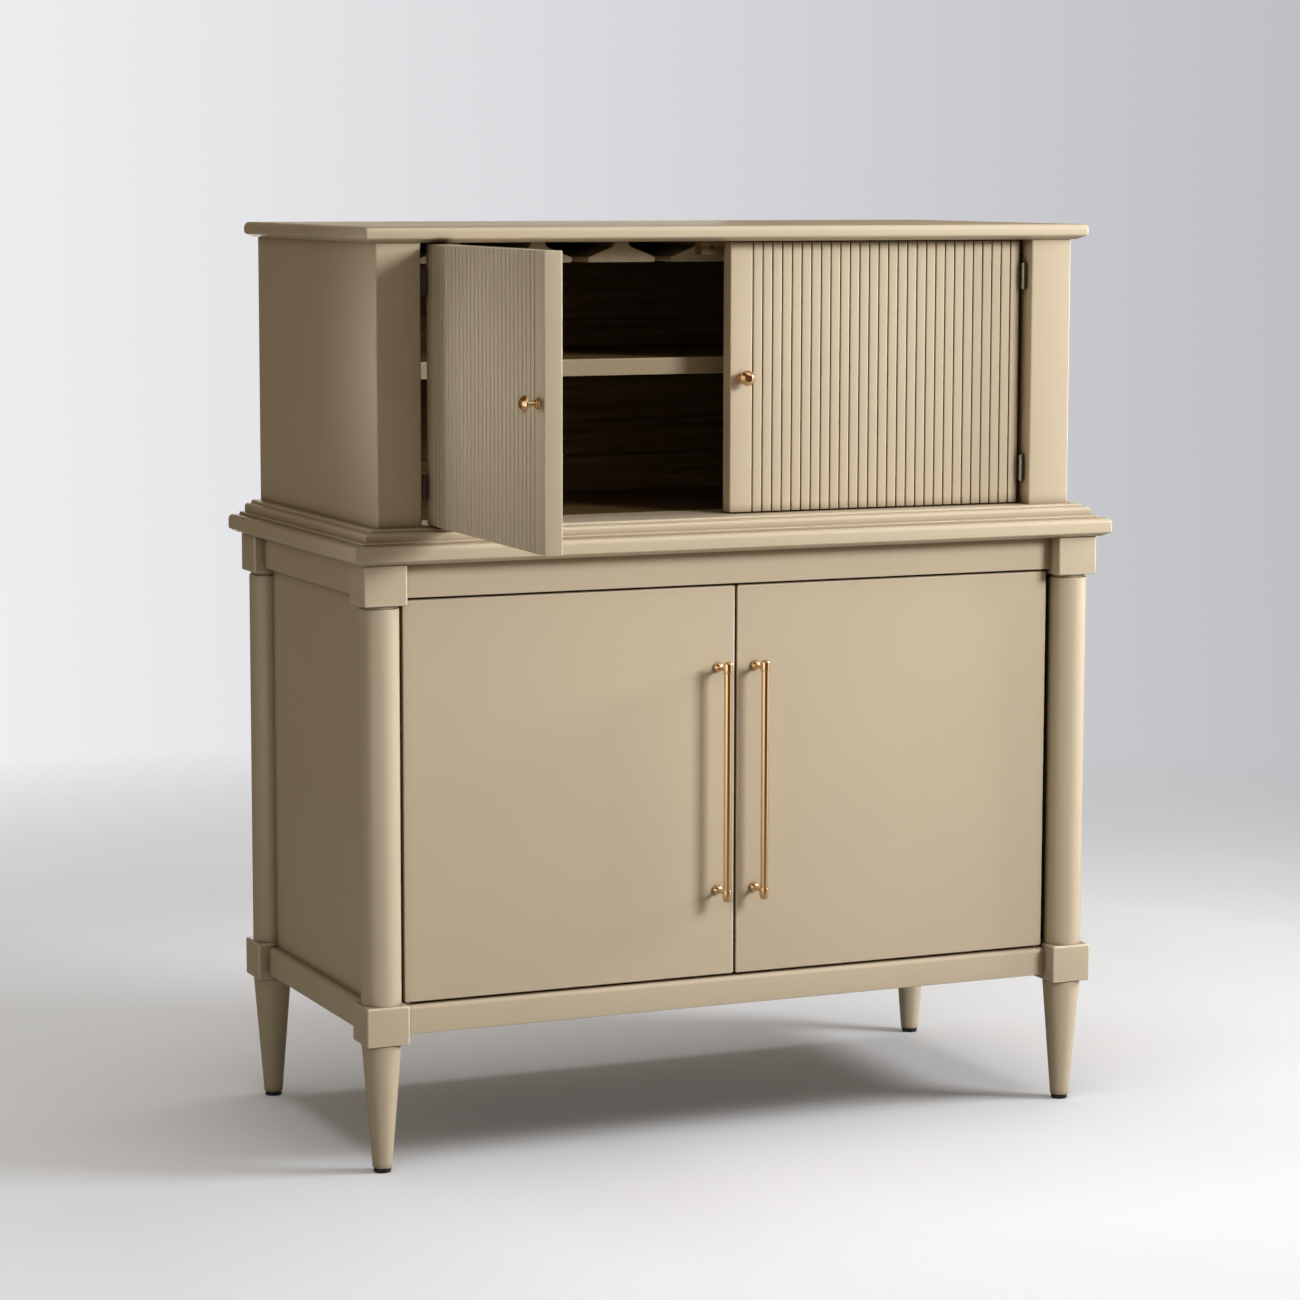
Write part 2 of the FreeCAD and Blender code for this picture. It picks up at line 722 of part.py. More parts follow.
def back_rail():
    """Moulded rail along the foot of the hutch's back."""
    foot = back_rail_thickness + back_rail_foot_width
    corners = [(0, 0, 0), (foot, 0, 0), (foot, back_rail_foot_height, back_rail_radius),
               (back_rail_thickness, back_rail_foot_height, 0),
               (back_rail_thickness, back_rail_height, back_rail_radius), (0, back_rail_height, 0)]
    face = outline_face(corners, lambda u, v: V(-hutch_in_x, hutch_back_in - u, z_hutch + v))
    return face.extrude(V(2 * hutch_in_x, 0, 0))


def hutch_shelf(z0):
    """Shelf of the hutch, its front edges eased."""
    x1 = hutch_in_x - shelf_clearance
    front = upper_back_y + hutch_shelf_setback
    corners = [(front, z0, hutch_shelf_radius), (front, z0 + hutch_shelf_thickness, hutch_shelf_radius),
               (hutch_back_in, z0 + hutch_shelf_thickness, 0), (hutch_back_in, z0, 0)]
    face = outline_face(corners, lambda u, v: V(-x1, u, v))
    return face.extrude(V(2 * x1, 0, 0))


def rack_rails():
    """T mouldings under the top, front to back; half mouldings against the sides close the row."""
    front = upper_back_y + rack_front_setback
    pitch = 2 * (hutch_in_x - rack_wall_inset) / (rack_full_rails + 1)
    lip = (pitch - rack_slot_width) / 2
    stem = rack_stem_width / 2
    right = [(lip, 0, rack_lip_radius), (lip, rack_lip_height, rack_lip_radius),
             (stem, rack_height - rack_neck_height, rack_neck_radius), (stem, rack_height, 0)]
    left = [(-u, v, radius) for u, v, radius in reversed(right)]
    wall = [(rack_wall_inset, 0, 0), (rack_wall_inset, rack_height, 0)]
    rails = []
    middle = (rack_full_rails - 1) / 2
    for k in range(rack_full_rails + 1):
        x = (k - middle) * pitch
        corners = (right if k < rack_full_rails else wall) + left
        face = outline_face(corners, lambda u, v: V(x + u, front, z_top - rack_height + v))
        rails.append(face.extrude(V(0, hutch_back_in - front, 0)))
    return group(rails + [mirror_x(rails[-1])])


def swung_open(shape):
    """A piece of the hutch's left door, turned about the hinge pin to the angle at which the door stands."""
    piece = shape.copy()
    piece.rotate(V(-hinge_x, hinge_y, 0), V(0, 0, 1), -upper_left_open_angle)
    return piece


nodes = {}

# Feet and legs
nodes["foot_glides"] = group([glide(x, y) for x, y in corners_of_plan.values()])
nodes["leg_bolts"] = group([leg_bolt(x, y) for x, y in corners_of_plan.values()])
for corner, (x, y) in corners_of_plan.items():
    nodes["leg_" + corner] = leg(x, y)

# Rails, aprons and panels of the base
front_rail = front_bar(rail_bottom, rail_top, rail_top_radius)
front_apron = front_bar(apron_bottom, z_counter, 0)
side_rail = side_bar(rail_bottom, rail_top, rail_top_radius)
side_apron = side_bar(apron_bottom, z_counter, 0)
side_panel = box(panel_back_x, panel_face_x, -rail_back_y, rail_back_y, panel_bottom, panel_top)
back_panel = box(-block_in_x - panel_housing, block_in_x + panel_housing, panel_back_y, panel_face_y,
                 panel_bottom, panel_top)
rail_bush_bore = bush_bore(rail_top, -1)
apron_bush_bore = bush_bore(apron_bottom, 1)
nodes["front_rail"] = front_rail.cut(group([rail_bush_bore, mirror_x(rail_bush_bore)]))
nodes["front_apron"] = front_apron.cut(group([apron_bush_bore, mirror_x(apron_bush_bore)]))
nodes["rear_rail"] = mirror_y(front_rail).cut(back_panel)
nodes["rear_apron"] = mirror_y(front_apron).cut(back_panel)
nodes["lower_back_panel"] = back_panel
base_sides = {"side_rail": side_rail.cut(side_panel), "side_apron": side_apron.cut(side_panel),
              "side_panel": side_panel.cut(group([pin_bore(*place) for place in lower_pins]))}
for name, shape in base_sides.items():
    nodes[name + "_right"] = shape
    nodes[name + "_left"] = mirror_x(shape)

# Posts, mortised for the tenons and grooved for the panels
side_housings = [side_rail, side_apron, side_panel]
front_post = post(post_x, -post_y).cut(group(side_housings + [front_rail, front_apron]))
rear_housings = [mirror_y(front_rail), mirror_y(front_apron), back_panel]
rear_post = post(post_x, post_y).cut(group(side_housings + rear_housings))
nodes["post_front_right"] = front_post
nodes["post_front_left"] = mirror_x(front_post)
nodes["post_rear_right"] = rear_post
nodes["post_rear_left"] = mirror_x(rear_post)

# Inside of the base
nodes["cabinet_floor"] = cabinet_floor()
nodes["lower_shelf"] = lower_shelf(lower_shelf_z)
right_pins = [shelf_pin(*place) for place in lower_pins + hutch_pins]
nodes["shelf_pins"] = group(right_pins + [mirror_x(pin) for pin in right_pins])
right_bushes = [bush(*place) for place in bushes]
nodes["pivot_bushes"] = group(right_bushes + [mirror_x(shape) for shape in right_bushes])

# Door stops and magnets
magnet_places = [(x, lower_stop_front, lower_magnet_z) for x in (-pull_x, pull_x)]
magnet_places += [(x, upper_stop_front, upper_magnet_z) for x in (-upper_magnet_inset, upper_magnet_inset)]
magnet_bores = group([magnet_bore(*place) for place in magnet_places])
nodes["door_stops"] = group([lower_stop().cut(magnet_bores), upper_stop().cut(magnet_bores)])
nodes["door_magnets"] = group([magnet(*place) for place in magnet_places])

# Counter, plinth and hutch
counter_edge = [(counter_bevel_run, 0, 0), (0, counter_bevel_rise, counter_lower_radius),
                (0, counter_thickness, counter_upper_radius)]
nodes["counter_top"] = moulded_board(counter_x, counter_front, counter_back, z_counter, counter_edge)
step_in = plinth_fillet_width
cap_in = plinth_fillet_width + plinth_step_width
step_top = plinth_fillet_height + plinth_step_height
plinth_edge = [(0, 0, 0), (0, plinth_fillet_height, 0), (step_in, plinth_fillet_height, 0),
               (step_in, step_top, plinth_step_radius), (cap_in, step_top, 0),
               (cap_in, step_top + plinth_cap_height, plinth_cap_radius)]
nodes["hutch_plinth"] = moulded_board(plinth_x, plinth_front, hutch_back, z_plinth, plinth_edge)
top_edge = [(top_bevel_run, 0, 0), (0, top_bevel_rise, top_lower_radius),
            (0, top_thickness, top_upper_radius)]
nodes["top_slab"] = moulded_board(hutch_x + top_overhang_side, hutch_front - top_overhang_front,
                                  hutch_back + top_overhang_back, z_top, top_edge)
hutch_side = box(hutch_in_x, hutch_x, hutch_front + pilaster_depth, hutch_back, z_hutch, z_top)
hutch_sides = {"hutch_side": hutch_side.cut(group([pin_bore(*place) for place in hutch_pins])),
               "pilaster": pilaster()}
for name, shape in hutch_sides.items():
    nodes[name + "_right"] = shape
    nodes[name + "_left"] = mirror_x(shape)
nodes["hutch_back_panel"] = box(-hutch_in_x, hutch_in_x, hutch_back_in, hutch_back, z_hutch, z_top)
nodes["hutch_back_rail"] = back_rail()
nodes["hutch_shelf"] = hutch_shelf(hutch_shelf_z)
nodes["stemware_rails"] = rack_rails()

# Hutch doors and their hinges
frame_leaves = [leaf(level, return_x - leaf_thickness, 0) for level in hinge_levels]
pins = [hinge_pin(level) for level in hinge_levels]
nodes["hinge_frame_leaves"] = group(frame_leaves + [mirror_x(shape) for shape in frame_leaves])
nodes["hinge_pins"] = group(pins + [mirror_x(shape) for shape in pins])
upper_door_pieces = {"door_panel": reeded_door(),
                     "hinge_leaves": group([leaf(level, upper_door_x1, 1) for level in hinge_levels]),
                     "knob": knob(),
                     "knob_screw": through_screw(knob_x, upper_face_y, upper_door_thickness, knob_z),
                     "strike": strike(upper_magnet_inset, upper_back_y, upper_magnet_z)}
for name, shape in upper_door_pieces.items():
    nodes["upper_right_" + name] = shape
    nodes["upper_left_" + name] = swung_open(mirror_x(shape))

# Base doors
screws = [through_screw(pull_x, lower_face_y, lower_door_thickness, z) for z in pull_levels]
lower_door_pieces = {"door_panel": lower_door(), "pivot_pins": pivot_pins(), "pull": pull(),
                     "pull_screws": group(screws), "strike": strike(pull_x, lower_back_y, lower_magnet_z)}
for name, shape in lower_door_pieces.items():
    nodes["lower_right_" + name] = shape
    nodes["lower_left_" + name] = mirror_x(shape)

os.makedirs("parts", exist_ok=True)
for name, shape in nodes.items():
    shape.exportStep("parts/" + name + ".step")
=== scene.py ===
import json
import math

import bmesh
import bpy
import numpy as np
from mathutils import Matrix, Vector


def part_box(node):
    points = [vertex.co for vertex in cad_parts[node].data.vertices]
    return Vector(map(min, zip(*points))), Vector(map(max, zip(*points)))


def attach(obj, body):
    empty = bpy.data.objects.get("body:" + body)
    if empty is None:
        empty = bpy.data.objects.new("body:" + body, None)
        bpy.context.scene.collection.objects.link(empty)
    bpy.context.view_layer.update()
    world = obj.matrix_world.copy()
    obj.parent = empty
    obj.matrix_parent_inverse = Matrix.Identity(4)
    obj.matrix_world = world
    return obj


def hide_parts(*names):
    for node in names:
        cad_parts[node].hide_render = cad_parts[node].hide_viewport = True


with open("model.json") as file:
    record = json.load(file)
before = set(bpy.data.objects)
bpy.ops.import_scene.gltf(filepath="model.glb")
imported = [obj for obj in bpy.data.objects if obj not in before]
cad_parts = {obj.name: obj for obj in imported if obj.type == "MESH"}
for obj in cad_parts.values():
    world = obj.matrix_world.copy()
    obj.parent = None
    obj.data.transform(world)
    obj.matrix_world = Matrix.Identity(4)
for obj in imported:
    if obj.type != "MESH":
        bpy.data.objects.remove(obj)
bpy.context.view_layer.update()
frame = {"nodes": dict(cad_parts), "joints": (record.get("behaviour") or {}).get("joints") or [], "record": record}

# Looks of a two-stage bar cabinet: satin lacquered case, turned posts and legs, reeded hutch doors,
# a rack of T mouldings, brass pulls and knobs. Metres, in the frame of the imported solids.

MM = 0.001

# Roundings and mouldings, in millimetres; a moulded edge is corners (inset, height, rounding) from below
LEG_FOOT_DIAMETER = 27.0
LEG_TOP_DIAMETER = 55.5
LEG_EDGE_RADIUS = 2.0
BLOCK_EDGE_RADIUS = 3.0
LOWER_BLOCK_HEIGHT = 55.0
UPPER_BLOCK_HEIGHT = 56.5
COLUMN_DIAMETER = 55.5
COLUMN_BURIED = 6.0
NECK_HEIGHT = 4.0
NECK_DEPTH = 2.5
COLUMN_SHOULDER_RADIUS = 2.0
RAIL_TOP_RADIUS = 7.0
RAIL_EDGE_RADIUS = 2.0
APRON_EDGE_RADIUS = 1.0
PLAN_CORNER_RADIUS = 4.0
COUNTER_EDGE = [(12.0, 0.0, 0.0), (0.0, 6.0, 3.0), (0.0, 26.0, 7.0), (24.0, 26.0, 0.0)]
PLINTH_EDGE = [(0.0, 0.0, 0.0), (0.0, 4.0, 1.0), (8.0, 4.0, 0.5), (8.0, 16.0, 5.0),
               (18.0, 16.0, 0.5), (18.0, 20.5, 3.5), (30.0, 20.5, 0.0)]
TOP_EDGE = [(14.0, 0.0, 0.0), (0.0, 6.0, 5.0), (0.0, 22.0, 8.0), (24.0, 22.0, 0.0)]
PILASTER_EDGE_RADIUS = 3.0
SHELF_EDGE_RADIUS = 2.0
LOWER_DOOR_EDGE_RADIUS = 3.0

# Rack of T mouldings, in millimetres
RACK_FULL_RAILS = 7
RACK_SLOT_WIDTH = 25.0
RACK_WALL_INSET = 7.0
RACK_LIP_HEIGHT = 7.3
RACK_LIP_RADIUS = 2.5
RACK_STEM_WIDTH = 21.0
RACK_NECK_HEIGHT = 7.5
RACK_NECK_RADIUS = 10.0
RACK_END_EASE = 1.5

# Reeded doors, in millimetres
PLAIN_STRIP_WIDTH = 35.0
HINGE_STRIP_WIDTH = 15.5
GROOVE_COUNT = 28
GROOVE_WIDTH = 1.0
GROOVE_DEPTH = 3.0
REED_EDGE_RADIUS = 2.5
UPPER_DOOR_EDGE_RADIUS = 2.0
UPPER_DOOR_END_EASE = 0.8

# Pulls and knobs, in millimetres
PULL_BAR_DIAMETER = 11.2
PULL_COLLAR_DIAMETER = 12.8
PULL_COLLAR_LENGTH = 17.0
PULL_COLLAR_RADIUS = 4.5
PULL_TIP_REACH = 12.0
PULL_BEAD_RADIUS = 0.5
PULL_PROJECTION = 36.0
PULL_NECK_DIAMETER = 6.4
PULL_NECK_RADIUS = 1.8
PULL_FLARE_DIAMETER = 12.0
PULL_FLARE_START = 23.5
PULL_FLARE_RADIUS = 3.0
PULL_ROSE_DIAMETER = 13.5
PULL_ROSE_FOOT_DIAMETER = 11.2
PULL_ROSE_SHOULDER_DIAMETER = 12.0
PULL_ROSE_BELLY_HEIGHT = 2.6
PULL_ROSE_SHOULDER_HEIGHT = 5.8
PULL_ROSE_HEIGHT = 7.6
PULL_ROSE_RADIUS = 2.2
KNOB_PROJECTION = 26.0
KNOB_HEAD_DIAMETER = 22.0
KNOB_RIM_HEIGHT = 2.6
KNOB_RIM_RADIUS = 1.0
KNOB_DOME_HEIGHT = 5.4
KNOB_DOME_SHOULDER = 3.2
KNOB_DOME_SHOULDER_DROP = 1.8
KNOB_DOME_CROWN_DIAMETER = 11.0
KNOB_DOME_RADIUS = 5.0
KNOB_NECK_DIAMETER = 7.6
KNOB_NECK_RADIUS = 3.0
KNOB_ROSE_DIAMETER = 15.0
KNOB_ROSE_HEIGHT = 3.2
KNOB_ROSE_RADIUS = 1.2
KNOB_RING_DIAMETER = 10.6
KNOB_RING_HEIGHT = 6.0
KNOB_RING_RADIUS = 1.0

# Fineness of the surfaces; an arris up to the radius below shows its paler edge colour in full, partly worn film
# and partly a painted highlight, and a point of an eased block is on an arris where it leans along two axes by
# more than LEAN_LIMIT of the radius
WORN_AND_HIGHLIT_RADIUS = 1.3
LEAN_LIMIT = 0.05
ARC_STEPS = 6
TURNED_STEPS = 72
SMOOTH_LIMIT = math.radians(32)
JOIN_DISTANCE = 1e-6

# Camera, fitted to the photograph
CAMERA_PLACE = (-2.2596, -5.0675, 1.3712)
CAMERA_YAW = math.radians(23.77)
CAMERA_PITCH = math.radians(-7.17)
CAMERA_ROLL = math.radians(0.12)
CAMERA_LENS = 104.85
SENSOR_WIDTH = 36.0

# Finishes, linear colours
PAINT_COLOR = (0.546, 0.457, 0.334)
# The edge colours are paler film on arrises: partly wear, partly a painted highlight
PAINT_EDGE_COLOR = (0.78, 0.70, 0.57)
# The crease colours are painted shade, which darkens grooves and inner corners
PAINT_CREASE_SHADE_COLOR = (0.190, 0.128, 0.068)
# Inner paint: a darker copy of the lacquer for the shelf edge and the rack, painted shade inside the hutch
INNER_SHADED_PAINT_COLOR = (0.300, 0.243, 0.160)
INNER_EDGE_COLOR = (0.48, 0.41, 0.30)
INNER_CREASE_SHADE_COLOR = (0.135, 0.092, 0.048)
STAIN_DARK_COLOR = (0.080, 0.048, 0.018)
STAIN_LIGHT_COLOR = (0.215, 0.138, 0.055)
BRASS_COLOR = (0.76, 0.51, 0.27)
BRASS_DEEP_COLOR = (0.54, 0.32, 0.14)
STEEL_COLOR = (0.30, 0.28, 0.26)
STEEL_DULL_COLOR = (0.16, 0.15, 0.14)
FERRITE_COLOR = (0.030, 0.028, 0.027)
FERRITE_EDGE_COLOR = (0.055, 0.052, 0.050)
BLACK_CREASE_SHADE_COLOR = (0.006, 0.006, 0.006)
GLIDE_COLOR = (0.012, 0.012, 0.013)
GLIDE_EDGE_COLOR = (0.035, 0.034, 0.033)

# Noises: scale per metre, or scales along x, y and z, then detail, roughness and distortion
FILM_CLOUDS = (5.0, 3.0, 0.55)
EDGE_PATCHES = (60.0, 4.0, 0.6)
PEEL_DETAIL = 2.0
GRAIN_BANDS = ((1.5, 30.0, 30.0), 5.0, 0.6, 0.6)
GRAIN_STREAKS = ((4.0, 170.0, 170.0), 4.0, 0.65, 0.4)
GRAIN_PORES = ((18.0, 900.0, 900.0), 2.0)
TARNISH_CLOUDS = (90.0, 4.0, 0.6)
RUBBING_MARKS = (2500.0, 1.0)
FLOOR_CLOUDS = (2.0, 3.0)

# What the noises do: a range is where a mask starts and where it is full; painted shade darkens the colour in
# creases within the crease reach, in metres
CLOUD_RANGE = (0.35, 0.65)
CLOUD_VALUE = 0.94
SHEEN_RANGE = (0.3, 0.7)
SHEEN_CHANGE = 0.03
EDGE_PATCH_RANGE = (0.3, 0.7)
EDGE_PATCH_SHARE = (0.25, 0.75)
CREASE_SHADE_REACH = 0.019
CREASE_SHADE_RANGE = (0.3, 0.92)
CREASE_SHADE_SAMPLES = 8
BAND_SHARE = 0.45
FIGURE_RANGE = (0.38, 0.62)
PORE_RANGE = (0.3, 0.6)
PORE_SHADE = (0.55, 1.0)
PORE_ROUGHNESS = 0.15
TARNISH_RANGE = (0.4, 0.75)
TARNISH_ROUGHNESS = 0.12
RUBBING_RANGE = (0.3, 0.7)
RUBBING_CHANGE = (-0.05, 0.05)

# Inside of the hutch, where the lacquer gives way to the dark grained wood colour: middle, half of its size and
# width of the edge, in metres
HUTCH_INSIDE_MIDDLE = (0.0, 0.062, 1.086)
HUTCH_INSIDE_HALF = (0.527, 0.2005, 0.1945)
INSIDE_EDGE = (-0.0003, 0.0003)

# Stage and light
FLOOR_COLOR = (0.87, 0.89, 0.945)
FLOOR_CLOUD_COLOR = (0.80, 0.82, 0.87)
FLOOR_CLOUD_RANGE = (0.3, 0.7)
FLOOR_CLOUD_SHARE = (0.0, 0.5)
FLOOR_BOUNCE_COLOR = (0.36, 0.34, 0.31)
FLOOR_GLOW = 0.06
FLOOR_ROUGHNESS = 0.55
FLOOR_RADIUS = 7.0
FLOOR_INNER_RADIUS = 0.001
FLOOR_RINGS = 24
FLOOR_FADE = (1.7, 3.6)
BACKDROP_LEFT_COLOR = (0.90, 0.90, 0.92)
BACKDROP_RIGHT_COLOR = (0.47, 0.47, 0.50)
BACKDROP_RANGE = (0.2, 0.6)
AMBIENT_COLOR = (1.0, 0.88, 0.64)
AMBIENT_STRENGTH = 0.21
ROOM_COLOR = (0.12, 0.062, 0.020)
SCREEN_COLOR = (1.20, 1.18, 1.16)
# Mirrored screens, in degrees: azimuth from the front, elevation, and where the edge fades out and is full
SCREENS = ((-66, 0, 37, 23), (76, 0, 37, 23), (40, 40, 31, 14))

# Lamps: place, aim, width in metres, beam in degrees, power in watts, whether a satin surface mirrors it,
# and whether it lights the floor only
LAMPS = {
    "key from the right front":
        ((2.20, -3.53, 2.35), (0.10, -0.24, 1.35), 1.2, 100, 51.0, False, False),
    "rim from the right":
        ((3.40, -0.75, 1.80), (0.0, -0.25, 0.80), 0.8, 180, 95.0, True, False),
    "raking light on the open door":
        ((-1.45, 0.45, 1.15), (-0.46, -0.60, 1.10), 0.3, 30, 0.36, False, False),
    "fill from the left":
        ((-1.40, 0.05, 1.20), (-0.45, -0.20, 1.05), 0.6, 180, 0.42, True, False),
    "low fill from the left front":
        ((-2.60, -1.70, 0.60), (-0.55, -0.10, 0.50), 0.6, 40, 0.27, True, False),
    "back light":
        ((0.80, 3.40, 0.85), (0.10, 0.28, 0.75), 1.6, 180, 26.0, True, False),
    "top light":
        ((0.60, -0.30, 3.30), (0.60, -0.25, 1.30), 2.0, 180, 12.0, True, False),
    "floor light from the right":
        ((3.05, -1.76, 2.96), (0.0, 0.0, 0.0), 1.2, 180, 95.0, True, True),
    "floor light from above":
        ((0.0, -0.40, 4.20), (0.0, -0.35, 0.0), 3.0, 180, 105.0, True, True),
}


def rounded_outline(corners):
    """Closed outline through corners (u, v, radius): each corner gives way to the arc of its radius that
    touches both sides. Returns the points and how much of an arris each one is, from 0 on flats to 1 on
    tight arcs."""
    plan = np.array(corners, float)
    here = plan[:, :2]
    back = np.roll(here, 1, axis=0) - here
    on = np.roll(here, -1, axis=0) - here
    back /= np.linalg.norm(back, axis=1, keepdims=True)
    on /= np.linalg.norm(on, axis=1, keepdims=True)
    half = np.arccos(np.clip((back * on).sum(1), -1, 1)) / 2
    points = []
    rounds = []
    t = np.linspace(0, 1, ARC_STEPS + 1)[:, None]
    for i, radius in enumerate(plan[:, 2]):
        if radius == 0:
            points.append(here[i:i + 1])
            rounds.append(np.zeros(1))
            continue
        middle = back[i] + on[i]
        centre = here[i] + middle / np.linalg.norm(middle) * radius / math.sin(half[i])
        run = radius / math.tan(half[i])
        start = here[i] + back[i] * run - centre
        end = here[i] + on[i] * run - centre
        sweep = math.pi - 2 * half[i]
        arc = (np.sin((1 - t) * sweep) * start + np.sin(t * sweep) * end) / math.sin(sweep)
        points.append(centre + arc)
        rounds.append(np.r_[0, np.full(ARC_STEPS - 1, min(1.0, WORN_AND_HIGHLIT_RADIUS / radius)), 0])
    return np.concatenate(points), np.concatenate(rounds)


def open_outline(corners):
    """Outline from the first corner to the last, rounded in between."""
    last = len(corners) - 1
    return rounded_outline([(u, v, 0 if i in (0, last) else radius)
                            for i, (u, v, radius) in enumerate(corners)])


def grid_faces(rows, columns, wrap):
    """Quads between neighbours of a grid of rows by columns; wrap joins the last column to the first."""
    i = np.arange(rows - 1)[:, None] * columns
    j = np.arange(columns if wrap else columns - 1)[None, :]
    k = (j + 1) % columns
    return np.stack([i + j, i + k, i + columns + k, i + columns + j], axis=-1).reshape(-1, 4)


def grid_shell(points, rounds, wrap=True, caps=True):
    """Surface on a grid of points (rows, columns, 3), with its first and last rows closed by flat caps.
    Returns the points, the quads, the caps and how much of an arris each point is."""
    rows, columns = points.shape[:2]
    ends = np.array([0, rows - 1] if caps else [], int)[:, None] * columns + np.arange(columns)
    arris = np.broadcast_to(rounds, (rows, columns)).reshape(-1)
    return points.reshape(-1, 3), grid_faces(rows, columns, wrap), ends, arris


def turned(corners, place, forward=False):
    """Surface of revolution: profile corners (radius, height, rounding) in millimetres turned about a
    vertical line through place, or one that points to the front: (r cos a, r sin a, h) for a from 0 to
    360 degrees."""
    profile, rounds = open_outline(corners)
    angle = np.linspace(0, 2 * math.pi, TURNED_STEPS, endpoint=False)
    radius = profile[:, :1] * MM
    height = np.broadcast_to(profile[:, 1:] * MM, (len(profile), TURNED_STEPS))
    across = radius * np.cos(angle)
    along = radius * np.sin(angle)
    axes = (across, -height, along) if forward else (across, along, height)
    return grid_shell(np.stack(axes, axis=-1) + np.array(place), rounds[:, None], caps=False)


def eased_block(low, high, radius):
    """Box with rounded edges: each point of the plain box's faces, drawn in to the box that is smaller by
    the radius, then pushed out again by the radius along the line between the two."""
    low, high, radius = np.array(low), np.array(high), radius * MM
    turn = np.tan(np.linspace(math.pi / 4, 0, ARC_STEPS + 1)) * radius
    axis_points = [np.r_[low[a] + radius - turn, high[a] - radius + turn[::-1]] for a in range(3)]
    shells = []
    for axis in range(3):
        u, v = [a for a in range(3) if a != axis]
        for level in (low[axis], high[axis]):
            outer = np.empty((len(axis_points[u]), len(axis_points[v]), 3))
            outer[..., u] = axis_points[u][:, None]
            outer[..., v] = axis_points[v][None, :]
            outer[..., axis] = level
            inner = np.clip(outer, low + radius, high - radius)
            push = outer - inner
            rounds = ((np.abs(push) > radius * LEAN_LIMIT).sum(-1) > 1).astype(float)
            push /= np.linalg.norm(push, axis=-1, keepdims=True)
            shells.append(grid_shell(inner + radius * push, rounds, wrap=False, caps=False))
    return shells


def prism(corners, start, end, place, ease=0.0):
    """Outline carried along a straight line from start to end, its two ends eased by a quarter round: the
    outline shrinks by ease (1 - sin a) while it moves by ease (1 - cos a). place turns (u, v, w) to
    (x, y, z)."""
    outline, rounds = rounded_outline(corners)
    outline = outline * MM
    ease = ease * MM
    side = np.roll(outline, -1, axis=0) - outline
    side /= np.linalg.norm(side, axis=1, keepdims=True)
    normal = np.stack([-side[:, 1], side[:, 0]], axis=1)
    before = np.roll(normal, 1, axis=0)
    inward = (normal + before) / (1 + (normal * before).sum(1))[:, None]
    u, v = outline.T
    area = (u * np.roll(v, -1) - v * np.roll(u, -1)).sum()
    inward *= np.sign(area)
    a = np.linspace(0, math.pi / 2, ARC_STEPS + 1 if ease else 1)
    shrink = np.r_[ease * (1 - np.sin(a)), ease * (1 - np.sin(a[::-1]))]
    w = np.r_[start + ease * (1 - np.cos(a)), end - ease * (1 - np.cos(a[::-1]))]
    ring = outline[None] + shrink[:, None, None] * inward[None]
    points = place(ring[..., 0], ring[..., 1], np.broadcast_to(w[:, None], ring.shape[:2]))
    turn = (shrink > 0)[:, None] * 1.0
    return grid_shell(np.stack(points, axis=-1), np.maximum(rounds[None, :], turn))


def moulded_board(low, high, edge):
    """Board with one moulding round its front and sides: every point (inset, height) of the moulding is a
    ring, the plan drawn in by the inset, whose front corners are arcs of what the inset leaves of their
    radius."""
    profile, rounds = open_outline(edge)
    inset = profile[:, :1] * MM
    corner = PLAN_CORNER_RADIUS * MM
    radius = np.maximum(corner - inset, 0)
    reach = np.maximum(corner, inset)
    a = np.linspace(0, math.pi / 2, ARC_STEPS + 1)[None, :]
    out = radius * np.sin(a)
    ahead = radius * np.cos(a)
    right = np.stack([high[0] - reach + out, low[1] + reach - ahead], axis=-1)
    left = np.stack([low[0] + reach - ahead, low[1] + reach - out], axis=-1)
    back_right = np.stack([high[0] - inset, np.full_like(inset, high[1])], axis=-1)
    back_left = np.stack([low[0] + inset, np.full_like(inset, high[1])], axis=-1)
    plan = np.concatenate([left, right, back_right, back_left], axis=1)
    level = np.broadcast_to(low[2] + profile[:, 1:] * MM, plan.shape[:2])
    return grid_shell(np.concatenate([plan, level[..., None]], axis=-1), rounds[:, None])


def along_x(u, v, w):
    """Outline in y and z, carried along x."""
    return w, u, v


def along_y(u, v, w):
    """Outline in x and z, carried along y."""
    return u, w, v


def along_z(u, v, w):
    """Outline in x and y, carried along z."""
    return u, v, w


def millimetres(*lengths):
    """Metres to millimetres."""
    return [length / MM for length in lengths]


def mirrored_profile(corners):
    """Corners (u, v, rounding) on the other side of the line u = 0, in the order that goes on round."""
    return [(-u, v, radius) for u, v, radius in reversed(corners)]


